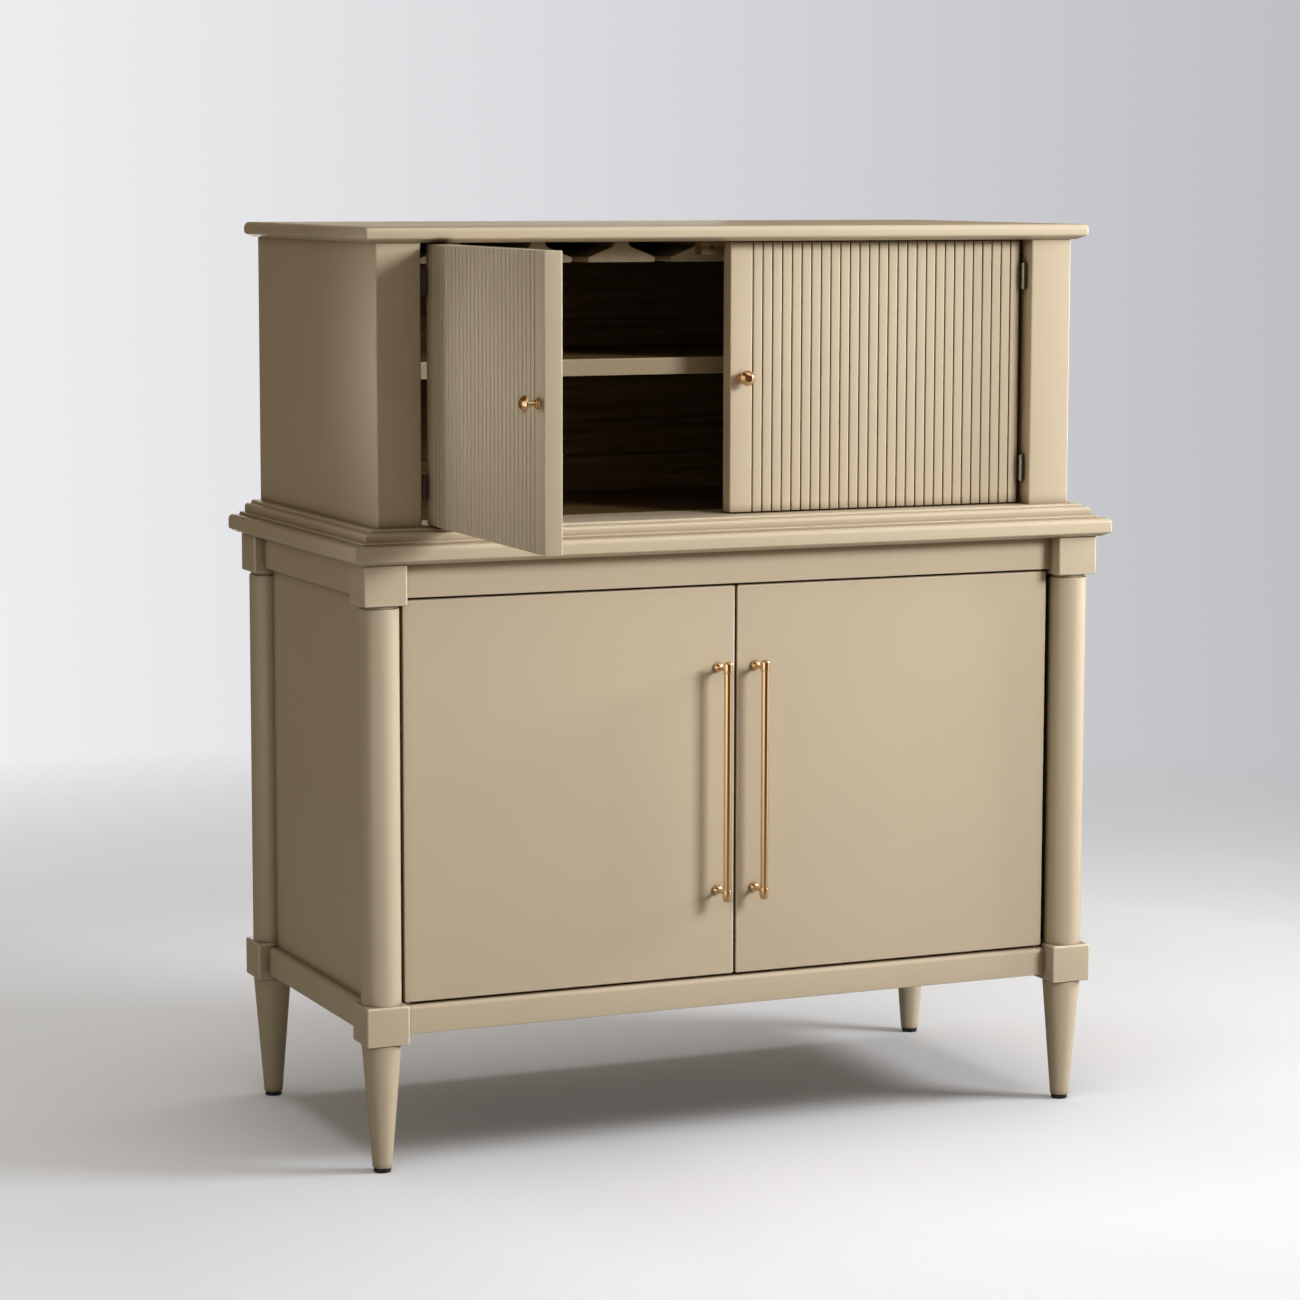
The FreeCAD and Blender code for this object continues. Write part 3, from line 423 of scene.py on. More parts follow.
def piece(name, node, shells, material, body="carcass", move=None):
    """One closed, smooth mesh from shells, on a body, in place of a CAD node; move is a matrix that is
    applied to its points."""
    points, quads, ends, rounds = zip(*shells)
    faces = []
    base = 0
    for count, sides, caps in zip(map(len, points), quads, ends):
        faces += (sides + base).tolist() + (caps + base).tolist()
        base += count
    mesh = bpy.data.meshes.new(name)
    mesh.from_pydata(np.concatenate(points).tolist(), [], faces)
    eased = mesh.attributes.new("eased", "FLOAT", "POINT")
    eased.data.foreach_set("value", np.concatenate(rounds).astype(np.float32))
    if move is not None:
        mesh.transform(move)
    work = bmesh.new()
    work.from_mesh(mesh)
    bmesh.ops.remove_doubles(work, verts=work.verts, dist=JOIN_DISTANCE)
    bmesh.ops.recalc_face_normals(work, faces=work.faces)
    work.to_mesh(mesh)
    work.free()
    mesh.shade_smooth()
    mesh.set_sharp_from_angle(angle=SMOOTH_LIMIT)
    mesh.materials.append(material)
    made = bpy.data.objects.new(name, mesh)
    bpy.context.scene.collection.objects.link(made)
    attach(made, body)
    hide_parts(node)


def add_node(tree, kind, settings=None, **inputs):
    """A shader node; an input is a value, or an output socket that is linked to it. _0 is the first
    input."""
    made = tree.nodes.new("ShaderNode" + kind)
    for name, value in (settings or {}).items():
        setattr(made, name, value)
    for name, value in inputs.items():
        socket = made.inputs[int(name[1:]) if name[0] == "_" else name.replace("_", " ")]
        if isinstance(value, bpy.types.NodeSocket):
            tree.links.new(value, socket)
        else:
            socket.default_value = value
    return made


def object_place(tree):
    """Object coordinates."""
    return add_node(tree, "TexCoord").outputs["Object"]


def calculate(tree, operation, *values):
    """Result of a sum, product or the like of two or three values."""
    inputs = {"_%d" % i: value for i, value in enumerate(values)}
    return add_node(tree, "Math", {"operation": operation}, **inputs).outputs[0]


def noise(tree, place, scale, detail, roughness=0.5, distortion=0.0):
    """Noise at a place, from 0 to 1 around 0.5; a scale along x, y and z draws it out."""
    if isinstance(scale, tuple):
        place = add_node(tree, "Mapping", None, Vector=place, Scale=scale).outputs["Vector"]
        scale = 1.0
    made = add_node(tree, "TexNoise", None, Vector=place, Scale=scale, Detail=detail, Roughness=roughness,
                    Distortion=distortion)
    return made.outputs["Fac"]


def spread(tree, value, given, wanted=(0.0, 1.0)):
    """A value's given range stretched to the wanted one, and held there."""
    made = add_node(tree, "MapRange", None, Value=value, From_Min=given[0], From_Max=given[1],
                    To_Min=wanted[0], To_Max=wanted[1])
    return made.outputs["Result"]


def mix_colors(tree, factor, first, second):
    """Blend of two colours by a factor."""
    made = add_node(tree, "Mix", {"data_type": "RGBA"}, _0=factor, _6=first, _7=second)
    return made.outputs[2]


def opaque(color):
    """A colour with full alpha."""
    return (*color, 1.0)


def new_group(name, inputs):
    """Empty shader group with named inputs (name, kind) that puts out colour, roughness and height; returns
    the tree, the sockets of its inputs and those of its outputs."""
    tree = bpy.data.node_groups.new(name, "ShaderNodeTree")
    for socket, kind in inputs:
        tree.interface.new_socket(name=socket, in_out="INPUT", socket_type="NodeSocket" + kind)
    for socket, kind in (("Color", "Color"), ("Roughness", "Float"), ("Height", "Float")):
        tree.interface.new_socket(name=socket, in_out="OUTPUT", socket_type="NodeSocket" + kind)
    return tree, tree.nodes.new("NodeGroupInput").outputs, tree.nodes.new("NodeGroupOutput").inputs


def film_shade_and_highlight_group():
    """Sprayed film: soft clouds in the colour, a paler colour on eased edges that is partly worn film and partly a
    painted highlight, painted shade that darkens grooves and inner corners, and fine orange peel."""
    tree, given, result = new_group("sprayed film, painted shade and highlights", [
        ("Color", "Color"), ("Worn Edge And Highlight Color", "Color"), ("Crease Shade Color", "Color"), ("Cloud", "Float"),
        ("Peel Scale", "Float"), ("Roughness", "Float")])
    place = object_place(tree)
    cloud = noise(tree, place, *FILM_CLOUDS)
    low = add_node(tree, "HueSaturation", None, Color=given["Color"], Value=CLOUD_VALUE).outputs["Color"]
    cloudy = calculate(tree, "MULTIPLY", spread(tree, cloud, CLOUD_RANGE), given["Cloud"])
    base = mix_colors(tree, cloudy, given["Color"], low)
    # Paler colour on eased edges: partly worn film, partly a painted highlight
    eased = add_node(tree, "Attribute", {"attribute_name": "eased"}).outputs["Fac"]
    patch = spread(tree, noise(tree, place, *EDGE_PATCHES), EDGE_PATCH_RANGE, EDGE_PATCH_SHARE)
    lightened_edge = calculate(tree, "MULTIPLY", eased, patch)
    worn_and_highlit = mix_colors(tree, lightened_edge, base, given["Worn Edge And Highlight Color"])
    # Painted shade: the colour turns to the crease colour where ambient occlusion finds grooves and inner corners
    open_air = add_node(tree, "AmbientOcclusion", {"samples": CREASE_SHADE_SAMPLES}, Distance=CREASE_SHADE_REACH)
    bare = spread(tree, open_air.outputs["AO"], CREASE_SHADE_RANGE)
    tree.links.new(mix_colors(tree, bare, given["Crease Shade Color"], worn_and_highlit), result["Color"])
    change = spread(tree, cloud, SHEEN_RANGE, (-1.0, 1.0))
    sheen = calculate(tree, "MULTIPLY_ADD", change, SHEEN_CHANGE, given["Roughness"])
    tree.links.new(sheen, result["Roughness"])
    tree.links.new(noise(tree, place, given["Peel Scale"], PEEL_DETAIL), result["Height"])
    return tree


def grain_group():
    """Straight-grained wood along x: noise drawn out along the grain gives broad bands, narrower streaks
    over them, and the pores."""
    tree, given, result = new_group("straight grain", [
        ("Dark", "Color"), ("Light", "Color"), ("Roughness", "Float")])
    place = object_place(tree)
    layers = (GRAIN_BANDS, GRAIN_STREAKS, GRAIN_PORES)
    band, streak, pores = [noise(tree, place, *layer) for layer in layers]
    broad = calculate(tree, "MULTIPLY", band, BAND_SHARE)
    figure = calculate(tree, "MULTIPLY_ADD", streak, 1.0 - BAND_SHARE, broad)
    mask = calculate(tree, "MULTIPLY", spread(tree, figure, FIGURE_RANGE),
                     spread(tree, pores, PORE_RANGE, PORE_SHADE))
    tree.links.new(mix_colors(tree, mask, given["Dark"], given["Light"]), result["Color"])
    rough = calculate(tree, "MULTIPLY_ADD", pores, PORE_ROUGHNESS, given["Roughness"])
    tree.links.new(rough, result["Roughness"])
    tree.links.new(pores, result["Height"])
    return tree


def rubbed_metal_group():
    """Satin-polished metal: cloudy tarnish in the colour, and fine rubbing marks in the gloss."""
    tree, given, result = new_group("rubbed metal", [
        ("Color", "Color"), ("Deep", "Color"), ("Tarnish", "Float"), ("Roughness", "Float")])
    place = object_place(tree)
    cloud = spread(tree, noise(tree, place, *TARNISH_CLOUDS), TARNISH_RANGE)
    tarnish = calculate(tree, "MULTIPLY", cloud, given["Tarnish"])
    tree.links.new(mix_colors(tree, tarnish, given["Color"], given["Deep"]), result["Color"])
    marks = noise(tree, place, *RUBBING_MARKS)
    rough = calculate(tree, "ADD", spread(tree, marks, RUBBING_RANGE, RUBBING_CHANGE), given["Roughness"])
    dulled = calculate(tree, "MULTIPLY_ADD", tarnish, TARNISH_ROUGHNESS, rough)
    tree.links.new(dulled, result["Roughness"])
    tree.links.new(marks, result["Height"])
    return tree


def place_group(tree, group, values):
    """A group in a material's tree, with its values set."""
    made = tree.nodes.new("ShaderNodeGroup")
    made.node_tree = group
    for socket, value in values.items():
        made.inputs[socket].default_value = value
    return made.outputs


def finish(name, group, values, relief, **shader):
    """Material from one group's colour, gloss and relief; relief is the bump's depth in metres."""
    made = bpy.data.materials.new(name)
    made.use_nodes = True
    tree = made.node_tree
    principled = tree.nodes["Principled BSDF"].inputs
    effect = place_group(tree, group, values)
    for socket, value in shader.items():
        principled[socket.replace("_", " ")].default_value = value
    tree.links.new(effect["Color"], principled["Base Color"])
    tree.links.new(effect["Roughness"], principled["Roughness"])
    bump = add_node(tree, "Bump", None, Height=effect["Height"], Distance=relief, Strength=1.0)
    tree.links.new(bump.outputs["Normal"], principled["Normal"])
    return made


def dark_wood_inside(name, lacquer, group, values):
    """Copy of a lacquer that gives way to the dark grained wood colour inside the hutch: where the point's
    distance from the hutch's middle is less than half of its size on all three axes."""
    made = lacquer.copy()
    made.name = name
    tree = made.node_tree
    principled = tree.nodes["Principled BSDF"].inputs
    wood = place_group(tree, group, values)
    past = object_place(tree)
    for operation, amount in (("SUBTRACT", HUTCH_INSIDE_MIDDLE), ("ABSOLUTE", (0.0, 0.0, 0.0)),
                              ("SUBTRACT", HUTCH_INSIDE_HALF)):
        past = add_node(tree, "VectorMath", {"operation": operation}, _0=past, _1=amount).outputs[0]
    parts = add_node(tree, "SeparateXYZ", None, Vector=past).outputs
    level = calculate(tree, "MAXIMUM", parts["X"], parts["Y"])
    outside = calculate(tree, "MAXIMUM", level, parts["Z"])
    inside = spread(tree, outside, INSIDE_EDGE, (1.0, 0.0))
    film_color = principled["Base Color"].links[0].from_socket
    film_gloss = principled["Roughness"].links[0].from_socket
    tree.links.new(mix_colors(tree, inside, film_color, wood["Color"]), principled["Base Color"])
    gloss = add_node(tree, "Mix", None, _0=inside, _2=film_gloss, _3=wood["Roughness"]).outputs[0]
    tree.links.new(gloss, principled["Roughness"])
    return made


def film_values(color, edge, crease, cloud, peel_scale, roughness):
    """Values of the group of sprayed film, painted shade and painted highlights."""
    return {"Color": opaque(color), "Worn Edge And Highlight Color": opaque(edge), "Crease Shade Color": opaque(crease),
            "Cloud": cloud, "Peel Scale": peel_scale, "Roughness": roughness}


def metal_values(color, deep, tarnish, roughness):
    """Values of the rubbed metal group."""
    return {"Color": opaque(color), "Deep": opaque(deep), "Tarnish": tarnish, "Roughness": roughness}


film = film_shade_and_highlight_group()
grain = grain_group()
rubbed = rubbed_metal_group()
satin = {"Coat_Weight": 0.06, "Coat_Roughness": 0.28, "Specular_IOR_Level": 0.4}
paint = finish("satin taupe lacquer", film, film_values(
    PAINT_COLOR, PAINT_EDGE_COLOR, PAINT_CREASE_SHADE_COLOR, cloud=0.35, peel_scale=700.0, roughness=0.40),
    relief=0.00006, **satin)
# Darker copy of the lacquer: painted shade for the inside of the hutch
shaded_inner_paint = finish("taupe lacquer with painted shade", film, film_values(
    INNER_SHADED_PAINT_COLOR, INNER_EDGE_COLOR, INNER_CREASE_SHADE_COLOR, cloud=0.5, peel_scale=700.0, roughness=0.44),
    relief=0.00006, **satin)
stain_values = {"Dark": opaque(STAIN_DARK_COLOR), "Light": opaque(STAIN_LIGHT_COLOR), "Roughness": 0.45}
stain = finish("dark stained wood", grain, stain_values, relief=0.00012)
paint_dark_inside = dark_wood_inside("taupe lacquer, dark wood colour inside", paint, grain, stain_values)
shaded_inner_paint_dark_inside = dark_wood_inside("taupe lacquer with painted shade, dark wood colour behind", shaded_inner_paint, grain, stain_values)
ferrite = finish("dark ferrite", film, film_values(
    FERRITE_COLOR, FERRITE_EDGE_COLOR, BLACK_CREASE_SHADE_COLOR, cloud=0.8, peel_scale=2500.0, roughness=0.6),
    relief=0.00004)
brass = finish("rubbed brass", rubbed, metal_values(
    BRASS_COLOR, BRASS_DEEP_COLOR, tarnish=0.10, roughness=0.18),
    relief=0.0000005, Metallic=1.0, Coat_Weight=0.5, Coat_Roughness=0.16)
steel = finish("nickelled steel", rubbed, metal_values(
    STEEL_COLOR, STEEL_DULL_COLOR, tarnish=0.5, roughness=0.26),
    relief=0.000004, Metallic=1.0)
glide_black = finish("black glide plastic", film, film_values(
    GLIDE_COLOR, GLIDE_EDGE_COLOR, BLACK_CREASE_SHADE_COLOR, cloud=0.6, peel_scale=1500.0, roughness=0.5),
    relief=0.00005)
slot_finishes = {"painted_wood": paint, "dark_wood": stain, "brass": brass, "steel": steel,
                 "glide_plastic": glide_black}
own_finishes = {"hutch_side_left": paint_dark_inside, "hutch_side_right": paint_dark_inside, "door_magnets": ferrite}
node_slots = {row["node"]: row["material_slot"] for row in frame["record"]["subparts"]}
for node_name, node in frame["nodes"].items():
    node.data.materials.clear()
    node.data.materials.append(own_finishes.get(node_name, slot_finishes[node_slots[node_name]]))


def leg_shells(low, high):
    """Tapered leg: a cone whose radius grows evenly from foot to top, its two rims rounded."""
    foot = LEG_FOOT_DIAMETER / 2
    top = LEG_TOP_DIAMETER / 2
    rise = (high.z - low.z) / MM
    corners = [(0, 0, 0), (foot, 0, LEG_EDGE_RADIUS), (top, rise, LEG_EDGE_RADIUS), (0, rise, 0)]
    return [turned(corners, ((low.x + high.x) / 2, (low.y + high.y) / 2, low.z))]


def post_shells(low, high):
    """Corner post: eased square blocks below and above a round column with a sunk neck, whose ends are
    buried in the blocks."""
    lower_top = low.z + LOWER_BLOCK_HEIGHT * MM
    upper_foot = high.z - UPPER_BLOCK_HEIGHT * MM
    radius = COLUMN_DIAMETER / 2
    neck = radius - NECK_DEPTH
    length = (upper_foot - lower_top) / MM
    shoulder = length - NECK_HEIGHT
    foot, head = -COLUMN_BURIED, length + COLUMN_BURIED
    corners = [(0, foot, 0), (radius, foot, 0), (radius, shoulder, COLUMN_SHOULDER_RADIUS),
               (neck, shoulder, 0), (neck, head, 0), (0, head, 0)]
    column = turned(corners, ((low.x + high.x) / 2, (low.y + high.y) / 2, lower_top))
    lower = eased_block(low, (high.x, high.y, lower_top), BLOCK_EDGE_RADIUS)
    upper = eased_block((low.x, low.y, upper_foot), high, BLOCK_EDGE_RADIUS)
    return lower + upper + [column]


for corner in ("front_left", "front_right", "rear_left", "rear_right"):
    piece("turned_leg_" + corner, "leg_" + corner, leg_shells(*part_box("leg_" + corner)), paint)
    piece("turned_post_" + corner, "post_" + corner, post_shells(*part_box("post_" + corner)), paint)


def bar_shell(node, outer, top_radius, edge_radius, along):
    """Rail or apron: its section, rounded on the outer face, carried between its ends. outer is the sign of
    the outer face on the section's level axis."""
    low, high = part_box(node)
    level = 1 if along is along_x else 0
    u0, u1, z0, z1 = millimetres(low[level], high[level], low.z, high.z)
    face, back = (u1, u0) if outer > 0 else (u0, u1)
    corners = [(face, z0, edge_radius), (face, z1, top_radius), (back, z1, 0), (back, z0, 0)]
    return prism(corners, low[1 - level], high[1 - level], along)


bars = (("front_%s", -1, along_x), ("rear_%s", 1, along_x), ("side_%s_left", -1, along_y),
        ("side_%s_right", 1, along_y))
for bar_name, outer, along in bars:
    for kind, top_radius, edge_radius in (("rail", RAIL_TOP_RADIUS, RAIL_EDGE_RADIUS),
                                          ("apron", 0, APRON_EDGE_RADIUS)):
        node_name = bar_name % kind
        bar = bar_shell(node_name, outer, top_radius, edge_radius, along)
        piece("shaped_" + node_name, node_name, [bar], paint)

boards = (("counter_top", COUNTER_EDGE, paint), ("hutch_plinth", PLINTH_EDGE, paint_dark_inside),
          ("top_slab", TOP_EDGE, paint_dark_inside))
for node_name, edge, coating in boards:
    piece("moulded_" + node_name, node_name, [moulded_board(*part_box(node_name), edge)], coating)

for side in ("left", "right"):
    low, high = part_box("pilaster_" + side)
    x0, x1, y0, y1 = millimetres(low.x, high.x, low.y, high.y)
    corners = [(x0, y0, PILASTER_EDGE_RADIUS), (x1, y0, PILASTER_EDGE_RADIUS), (x1, y1, 0), (x0, y1, 0)]
    pilaster = prism(corners, low.z, high.z, along_z)
    piece("eased_pilaster_" + side, "pilaster_" + side, [pilaster], paint)

low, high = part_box("hutch_shelf")
y0, y1, z0, z1 = millimetres(low.y, high.y, low.z, high.z)
corners = [(y0, z0, SHELF_EDGE_RADIUS), (y1, z0, 0), (y1, z1, 0), (y0, z1, SHELF_EDGE_RADIUS)]
piece("eased_hutch_shelf", "hutch_shelf", [prism(corners, low.x, high.x, along_x)], shaded_inner_paint_dark_inside)


def rack_shells(low, high):
    """T mouldings side by side: flange with rounded lips, hollow shoulders, stem; half ones at
    the walls."""
    rack_height = (high.z - low.z) / MM
    base = low.z / MM
    pitch = 2 * (high.x / MM - RACK_WALL_INSET) / (RACK_FULL_RAILS + 1)
    lip = (pitch - RACK_SLOT_WIDTH) / 2
    stem = RACK_STEM_WIDTH / 2
    right = [(lip, 0, RACK_LIP_RADIUS), (lip, RACK_LIP_HEIGHT, RACK_LIP_RADIUS),
             (stem, rack_height - RACK_NECK_HEIGHT, RACK_NECK_RADIUS), (stem, rack_height, 0)]
    left = mirrored_profile(right)
    wall = [(RACK_WALL_INSET, 0, 0), (RACK_WALL_INSET, rack_height, 0)]
    sections = [right + mirrored_profile(wall)] + [right + left] * RACK_FULL_RAILS + [wall + left]
    middle = (len(sections) - 1) / 2
    shells = []
    for k, section in enumerate(sections):
        corners = [((k - middle) * pitch + u, base + v, radius) for u, v, radius in section]
        shells.append(prism(corners, low.y, high.y, along_y, RACK_END_EASE))
    return shells


piece("rack_mouldings", "stemware_rails", rack_shells(*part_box("stemware_rails")), shaded_inner_paint)


def reeded_shell(low, high):
    """Reeded door: a plain strip, then reeds with rounded arrises between narrow grooves, carried
    upwards."""
    x0, x1, y0, y1 = millimetres(low.x, high.x, low.y, high.y)
    pitch = (x1 - x0 - PLAIN_STRIP_WIDTH - HINGE_STRIP_WIDTH) / (GROOVE_COUNT - 1)
    bottom = y0 + GROOVE_DEPTH
    corners = [(x0, y1, UPPER_DOOR_EDGE_RADIUS), (x0, y0, UPPER_DOOR_EDGE_RADIUS)]
    for k in range(GROOVE_COUNT):
        left = x0 + PLAIN_STRIP_WIDTH + k * pitch - GROOVE_WIDTH / 2
        right = left + GROOVE_WIDTH
        corners += [(left, y0, REED_EDGE_RADIUS), (left, bottom, 0), (right, bottom, 0),
                    (right, y0, REED_EDGE_RADIUS)]
    corners += [(x1, y0, UPPER_DOOR_EDGE_RADIUS), (x1, y1, UPPER_DOOR_EDGE_RADIUS)]
    return prism(corners, low.z, high.z, along_z, UPPER_DOOR_END_EASE)


def knob_shell(low, high):
    """Turned knob: rose, ring, waisted neck, rimmed head with a low dome."""
    head = KNOB_HEAD_DIAMETER / 2
    crown = KNOB_DOME_CROWN_DIAMETER / 2
    neck = KNOB_NECK_DIAMETER / 2
    ring = KNOB_RING_DIAMETER / 2
    rose = KNOB_ROSE_DIAMETER / 2
    rim_front = KNOB_PROJECTION - KNOB_DOME_HEIGHT
    rim_back = rim_front - KNOB_RIM_HEIGHT
    shoulder = KNOB_PROJECTION - KNOB_DOME_SHOULDER_DROP
    corners = [(0, 0, 0), (rose, 0, 0), (rose, KNOB_ROSE_HEIGHT, KNOB_ROSE_RADIUS),
               (ring, KNOB_ROSE_HEIGHT, 0), (ring, KNOB_RING_HEIGHT, KNOB_RING_RADIUS),
               (neck, KNOB_RING_HEIGHT, 0), (neck, rim_back, KNOB_NECK_RADIUS),
               (head, rim_back, KNOB_RIM_RADIUS), (head, rim_front, KNOB_RIM_RADIUS),
               (head - KNOB_DOME_SHOULDER, shoulder, KNOB_DOME_RADIUS),
               (crown, KNOB_PROJECTION, KNOB_DOME_RADIUS), (0, KNOB_PROJECTION, 0)]
    return turned(corners, ((low.x + high.x) / 2, high.y, (low.z + high.z) / 2), forward=True)


def pull_shells(low, high):
    """Bar pull: turned bar with a domed collar at each end, on two turned posts with a rose and a flare."""
    bar = PULL_BAR_DIAMETER / 2
    collar = PULL_COLLAR_DIAMETER / 2
    x = (low.x + high.x) / 2
    tip = (high.z - low.z) / 2 / MM
    foot = tip - PULL_COLLAR_LENGTH
    upper = [(bar, foot, 0), (collar, foot, PULL_BEAD_RADIUS), (collar, tip, PULL_COLLAR_RADIUS),
             (0, tip, 0)]
    lower = [(u, -v, radius) for u, v, radius in reversed(upper)]
    bar_body = turned(lower + upper, (x, high.y - PULL_PROJECTION * MM, (low.z + high.z) / 2))
    neck = PULL_NECK_DIAMETER / 2
    post = [(0, 0, 0), (PULL_ROSE_FOOT_DIAMETER / 2, 0, 0),
            (PULL_ROSE_DIAMETER / 2, PULL_ROSE_BELLY_HEIGHT, PULL_ROSE_RADIUS),
            (PULL_ROSE_SHOULDER_DIAMETER / 2, PULL_ROSE_SHOULDER_HEIGHT, PULL_ROSE_RADIUS),
            (neck, PULL_ROSE_HEIGHT, PULL_NECK_RADIUS), (neck, PULL_FLARE_START, PULL_FLARE_RADIUS),
            (PULL_FLARE_DIAMETER / 2, PULL_PROJECTION, 0), (0, PULL_PROJECTION, 0)]
    reach = PULL_TIP_REACH * MM
    posts = [turned(post, (x, high.y, z), forward=True) for z in (low.z + reach, high.z - reach)]
    return [bar_body] + posts


# The left doors mirror the right ones; the hutch's left door is then swung open about its hinge
left_hinge = next(joint for joint in frame["joints"] if joint["name"] == "upper_left_hinge")
hinge_place = Vector(left_hinge["pos_m"])
to_left = Matrix.Diagonal((-1, 1, 1, 1))
swing = Matrix.Rotation(-math.radians(left_hinge["range_deg"][1]), 4, Vector(left_hinge["axis"]))
swung_open = Matrix.Translation(hinge_place) @ swing @ Matrix.Translation(-hinge_place) @ to_left

upper_door = [reeded_shell(*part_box("upper_right_door_panel"))]
upper_knob = [knob_shell(*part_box("upper_right_knob"))]
lower_door = eased_block(*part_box("lower_right_door_panel"), LOWER_DOOR_EDGE_RADIUS)
lower_pull = pull_shells(*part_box("lower_right_pull"))
for side, upper_move, lower_move in (("right", None, None), ("left", swung_open, to_left)):
    upper = "upper_" + side + "_"
    lower = "lower_" + side + "_"
    piece("reeded_door_" + side, upper + "door_panel", upper_door, paint, upper + "door", move=upper_move)
    piece("turned_knob_" + side, upper + "knob", upper_knob, brass, upper + "door", upper_move)
    piece("flat_door_" + side, lower + "door_panel", lower_door, paint, lower + "door", move=lower_move)
    piece("bar_pull_" + side, lower + "pull", lower_pull, brass, lower + "door", lower_move)


def floor_stage():
    """Pale floor: a disc of rings that fades out towards its rim, and sends back less light than it
    shows."""
    rings = np.linspace(FLOOR_INNER_RADIUS, FLOOR_RADIUS, FLOOR_RINGS)[:, None]
    angle = np.linspace(0, 2 * math.pi, TURNED_STEPS, endpoint=False)[None, :]
    level = np.zeros((FLOOR_RINGS, TURNED_STEPS))
    points = np.stack([rings * np.cos(angle), rings * np.sin(angle), level], axis=-1)
    mesh = bpy.data.meshes.new("floor")
    quads = grid_faces(FLOOR_RINGS, TURNED_STEPS, wrap=True)
    mesh.from_pydata(points.reshape(-1, 3).tolist(), [], quads.tolist())
    made = bpy.data.objects.new("floor", mesh)
    bpy.context.scene.collection.objects.link(made)
    material = bpy.data.materials.new("pale floor")
    material.use_nodes = True
    tree = material.node_tree
    principled = tree.nodes["Principled BSDF"].inputs
    place = object_place(tree)
    far = add_node(tree, "VectorMath", {"operation": "LENGTH"}, _0=place).outputs["Value"]
    cloud = spread(tree, noise(tree, place, *FLOOR_CLOUDS), FLOOR_CLOUD_RANGE, FLOOR_CLOUD_SHARE)
    tone = mix_colors(tree, cloud, opaque(FLOOR_COLOR), opaque(FLOOR_CLOUD_COLOR))
    seen = add_node(tree, "LightPath").outputs["Is Camera Ray"]
    tree.links.new(mix_colors(tree, seen, opaque(FLOOR_BOUNCE_COLOR), tone), principled["Base Color"])
    tree.links.new(tone, principled["Emission Color"])
    tree.links.new(calculate(tree, "MULTIPLY", seen, FLOOR_GLOW), principled["Emission Strength"])
    tree.links.new(spread(tree, far, FLOOR_FADE, (1.0, 0.0)), principled["Alpha"])
    principled["Roughness"].default_value = FLOOR_ROUGHNESS
    mesh.materials.append(material)
    return made


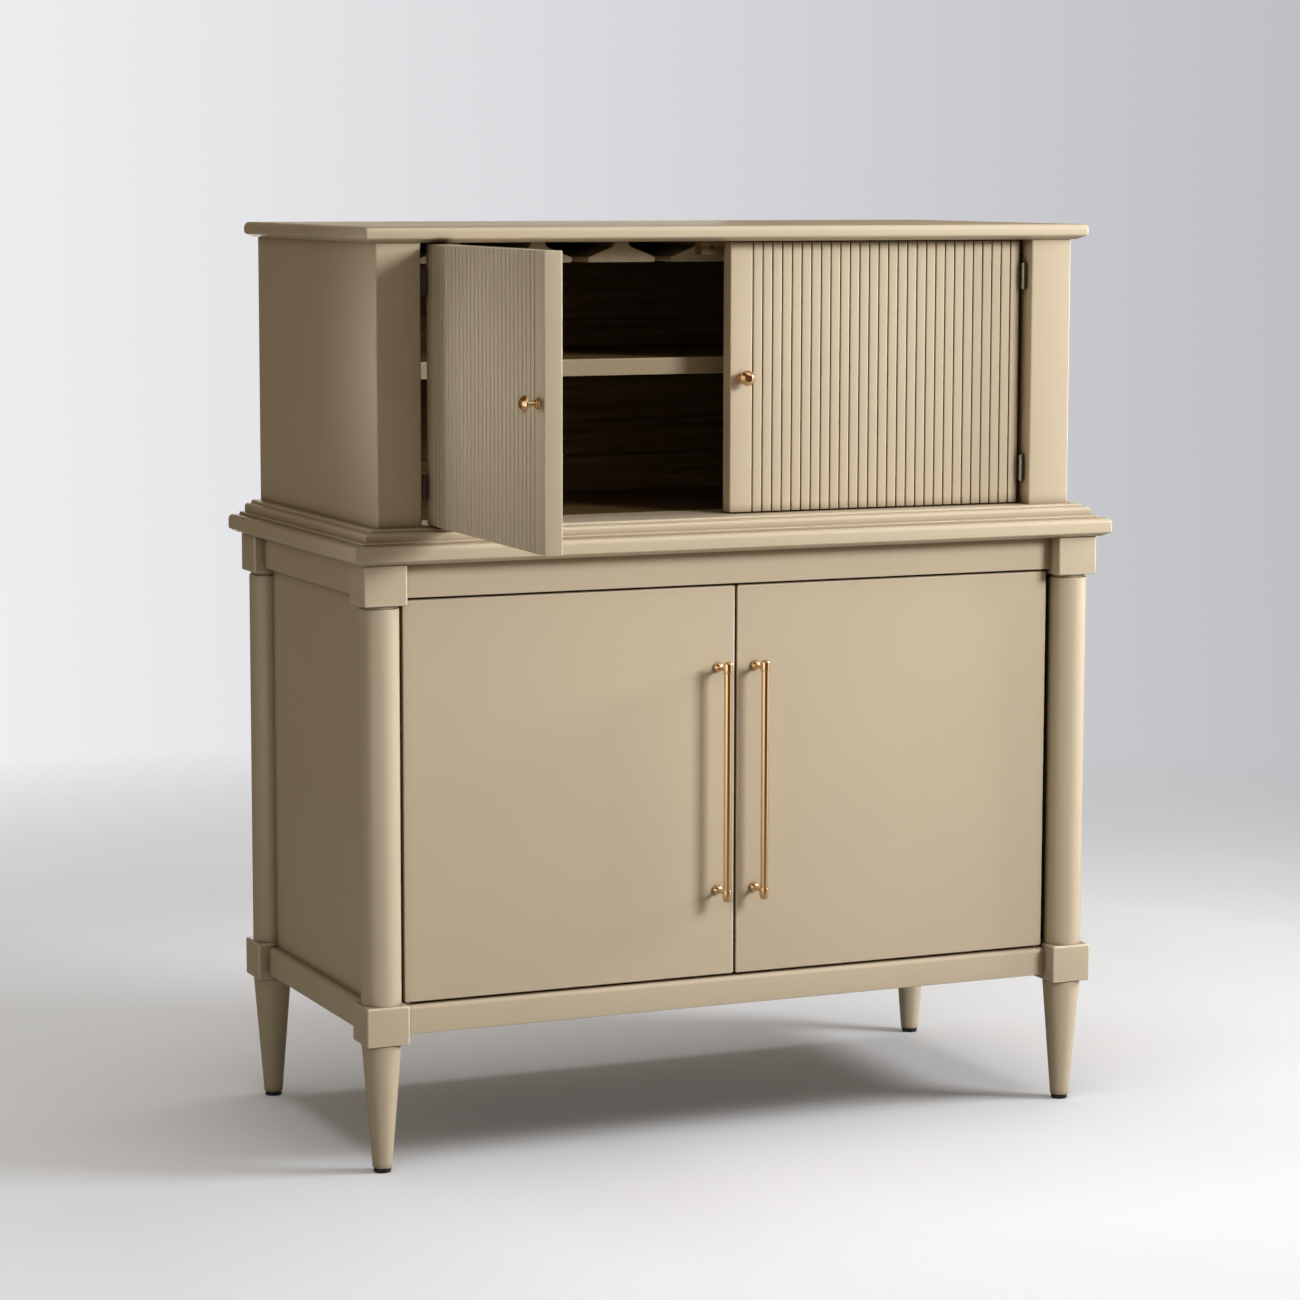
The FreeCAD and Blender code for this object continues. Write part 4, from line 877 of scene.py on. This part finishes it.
def backdrop_and_ambient():
    """World: soft even light, a pale backdrop for the camera, brighter to the left, and for reflections a
    dim room with a bright screen on either side and one above the right front."""
    world = bpy.data.worlds.new("studio")
    bpy.context.scene.world = world
    world.use_nodes = True
    tree = world.node_tree
    tree.nodes.clear()
    path = add_node(tree, "LightPath").outputs
    mirrored = add_node(tree, "Math", {"operation": "ADD", "use_clamp": True}, _0=path["Is Glossy Ray"],
                        _1=path["Is Transmission Ray"]).outputs[0]
    way = add_node(tree, "TexCoord").outputs["Generated"]
    across = add_node(tree, "SeparateXYZ", None, Vector=way).outputs["X"]
    tone = mix_colors(tree, spread(tree, across, BACKDROP_RANGE), opaque(BACKDROP_LEFT_COLOR),
                      opaque(BACKDROP_RIGHT_COLOR))
    room = opaque(ROOM_COLOR)
    for azimuth, elevation, faded, full in np.radians(SCREENS).tolist():
        level = math.cos(elevation)
        middle = (math.sin(azimuth) * level, -math.cos(azimuth) * level, math.sin(elevation))
        facing = add_node(tree, "VectorMath", {"operation": "DOT_PRODUCT"}, _0=way, _1=middle)
        screen = spread(tree, facing.outputs["Value"], (math.cos(faded), math.cos(full)))
        room = mix_colors(tree, screen, room, opaque(SCREEN_COLOR))
    shown, ambient, around = [
        add_node(tree, "Background", None, Color=color, Strength=strength).outputs[0] for color, strength in
        ((tone, 1.0), (opaque(AMBIENT_COLOR), AMBIENT_STRENGTH), (room, 1.0))]
    light = add_node(tree, "MixShader", None, _0=mirrored, _1=ambient, _2=around).outputs[0]
    both = add_node(tree, "MixShader", None, _0=path["Is Camera Ray"], _1=light, _2=shown).outputs[0]
    add_node(tree, "OutputWorld", None, Surface=both)


def area_lamp(name, floor, place, aim, width, beam, power, mirrored, floor_only):
    """Square soft light at a place, turned to its aim, that lights the floor only or all but the floor."""
    lamp = bpy.data.lights.new(name, "AREA")
    lamp.size = width
    lamp.spread = math.radians(beam)
    lamp.energy = power
    made = bpy.data.objects.new(name, lamp)
    made.location = place
    made.rotation_euler = (Vector(place) - Vector(aim)).to_track_quat("Z", "Y").to_euler()
    made.visible_camera = False
    made.visible_glossy = mirrored
    lit = bpy.data.collections.new(name + ", lit")
    lit.objects.link(floor)
    lit.collection_objects[0].light_linking.link_state = "INCLUDE" if floor_only else "EXCLUDE"
    made.light_linking.receiver_collection = lit
    bpy.context.scene.collection.objects.link(made)


def camera():
    """Camera at the photograph's place, from its yaw, pitch and roll."""
    data = bpy.data.cameras.new("camera")
    data.lens = CAMERA_LENS
    data.sensor_width = SENSOR_WIDTH
    made = bpy.data.objects.new("camera", data)
    level = math.cos(CAMERA_PITCH)
    ahead = Vector((math.sin(CAMERA_YAW) * level, math.cos(CAMERA_YAW) * level, math.sin(CAMERA_PITCH)))
    right = Vector((math.cos(CAMERA_YAW), -math.sin(CAMERA_YAW), 0.0))
    up = right.cross(ahead)
    tilted_right = right * math.cos(CAMERA_ROLL) + up * math.sin(CAMERA_ROLL)
    tilted_up = up * math.cos(CAMERA_ROLL) - right * math.sin(CAMERA_ROLL)
    turn = Matrix((tilted_right, tilted_up, -ahead)).transposed()
    made.matrix_world = Matrix.Translation(CAMERA_PLACE) @ turn.to_4x4()
    bpy.context.scene.collection.objects.link(made)
    bpy.context.scene.camera = made


floor_disc = floor_stage()
backdrop_and_ambient()
for lamp_name, lamp_values in LAMPS.items():
    area_lamp(lamp_name, floor_disc, *lamp_values)
camera()
bpy.context.scene.view_settings.view_transform = "Standard"
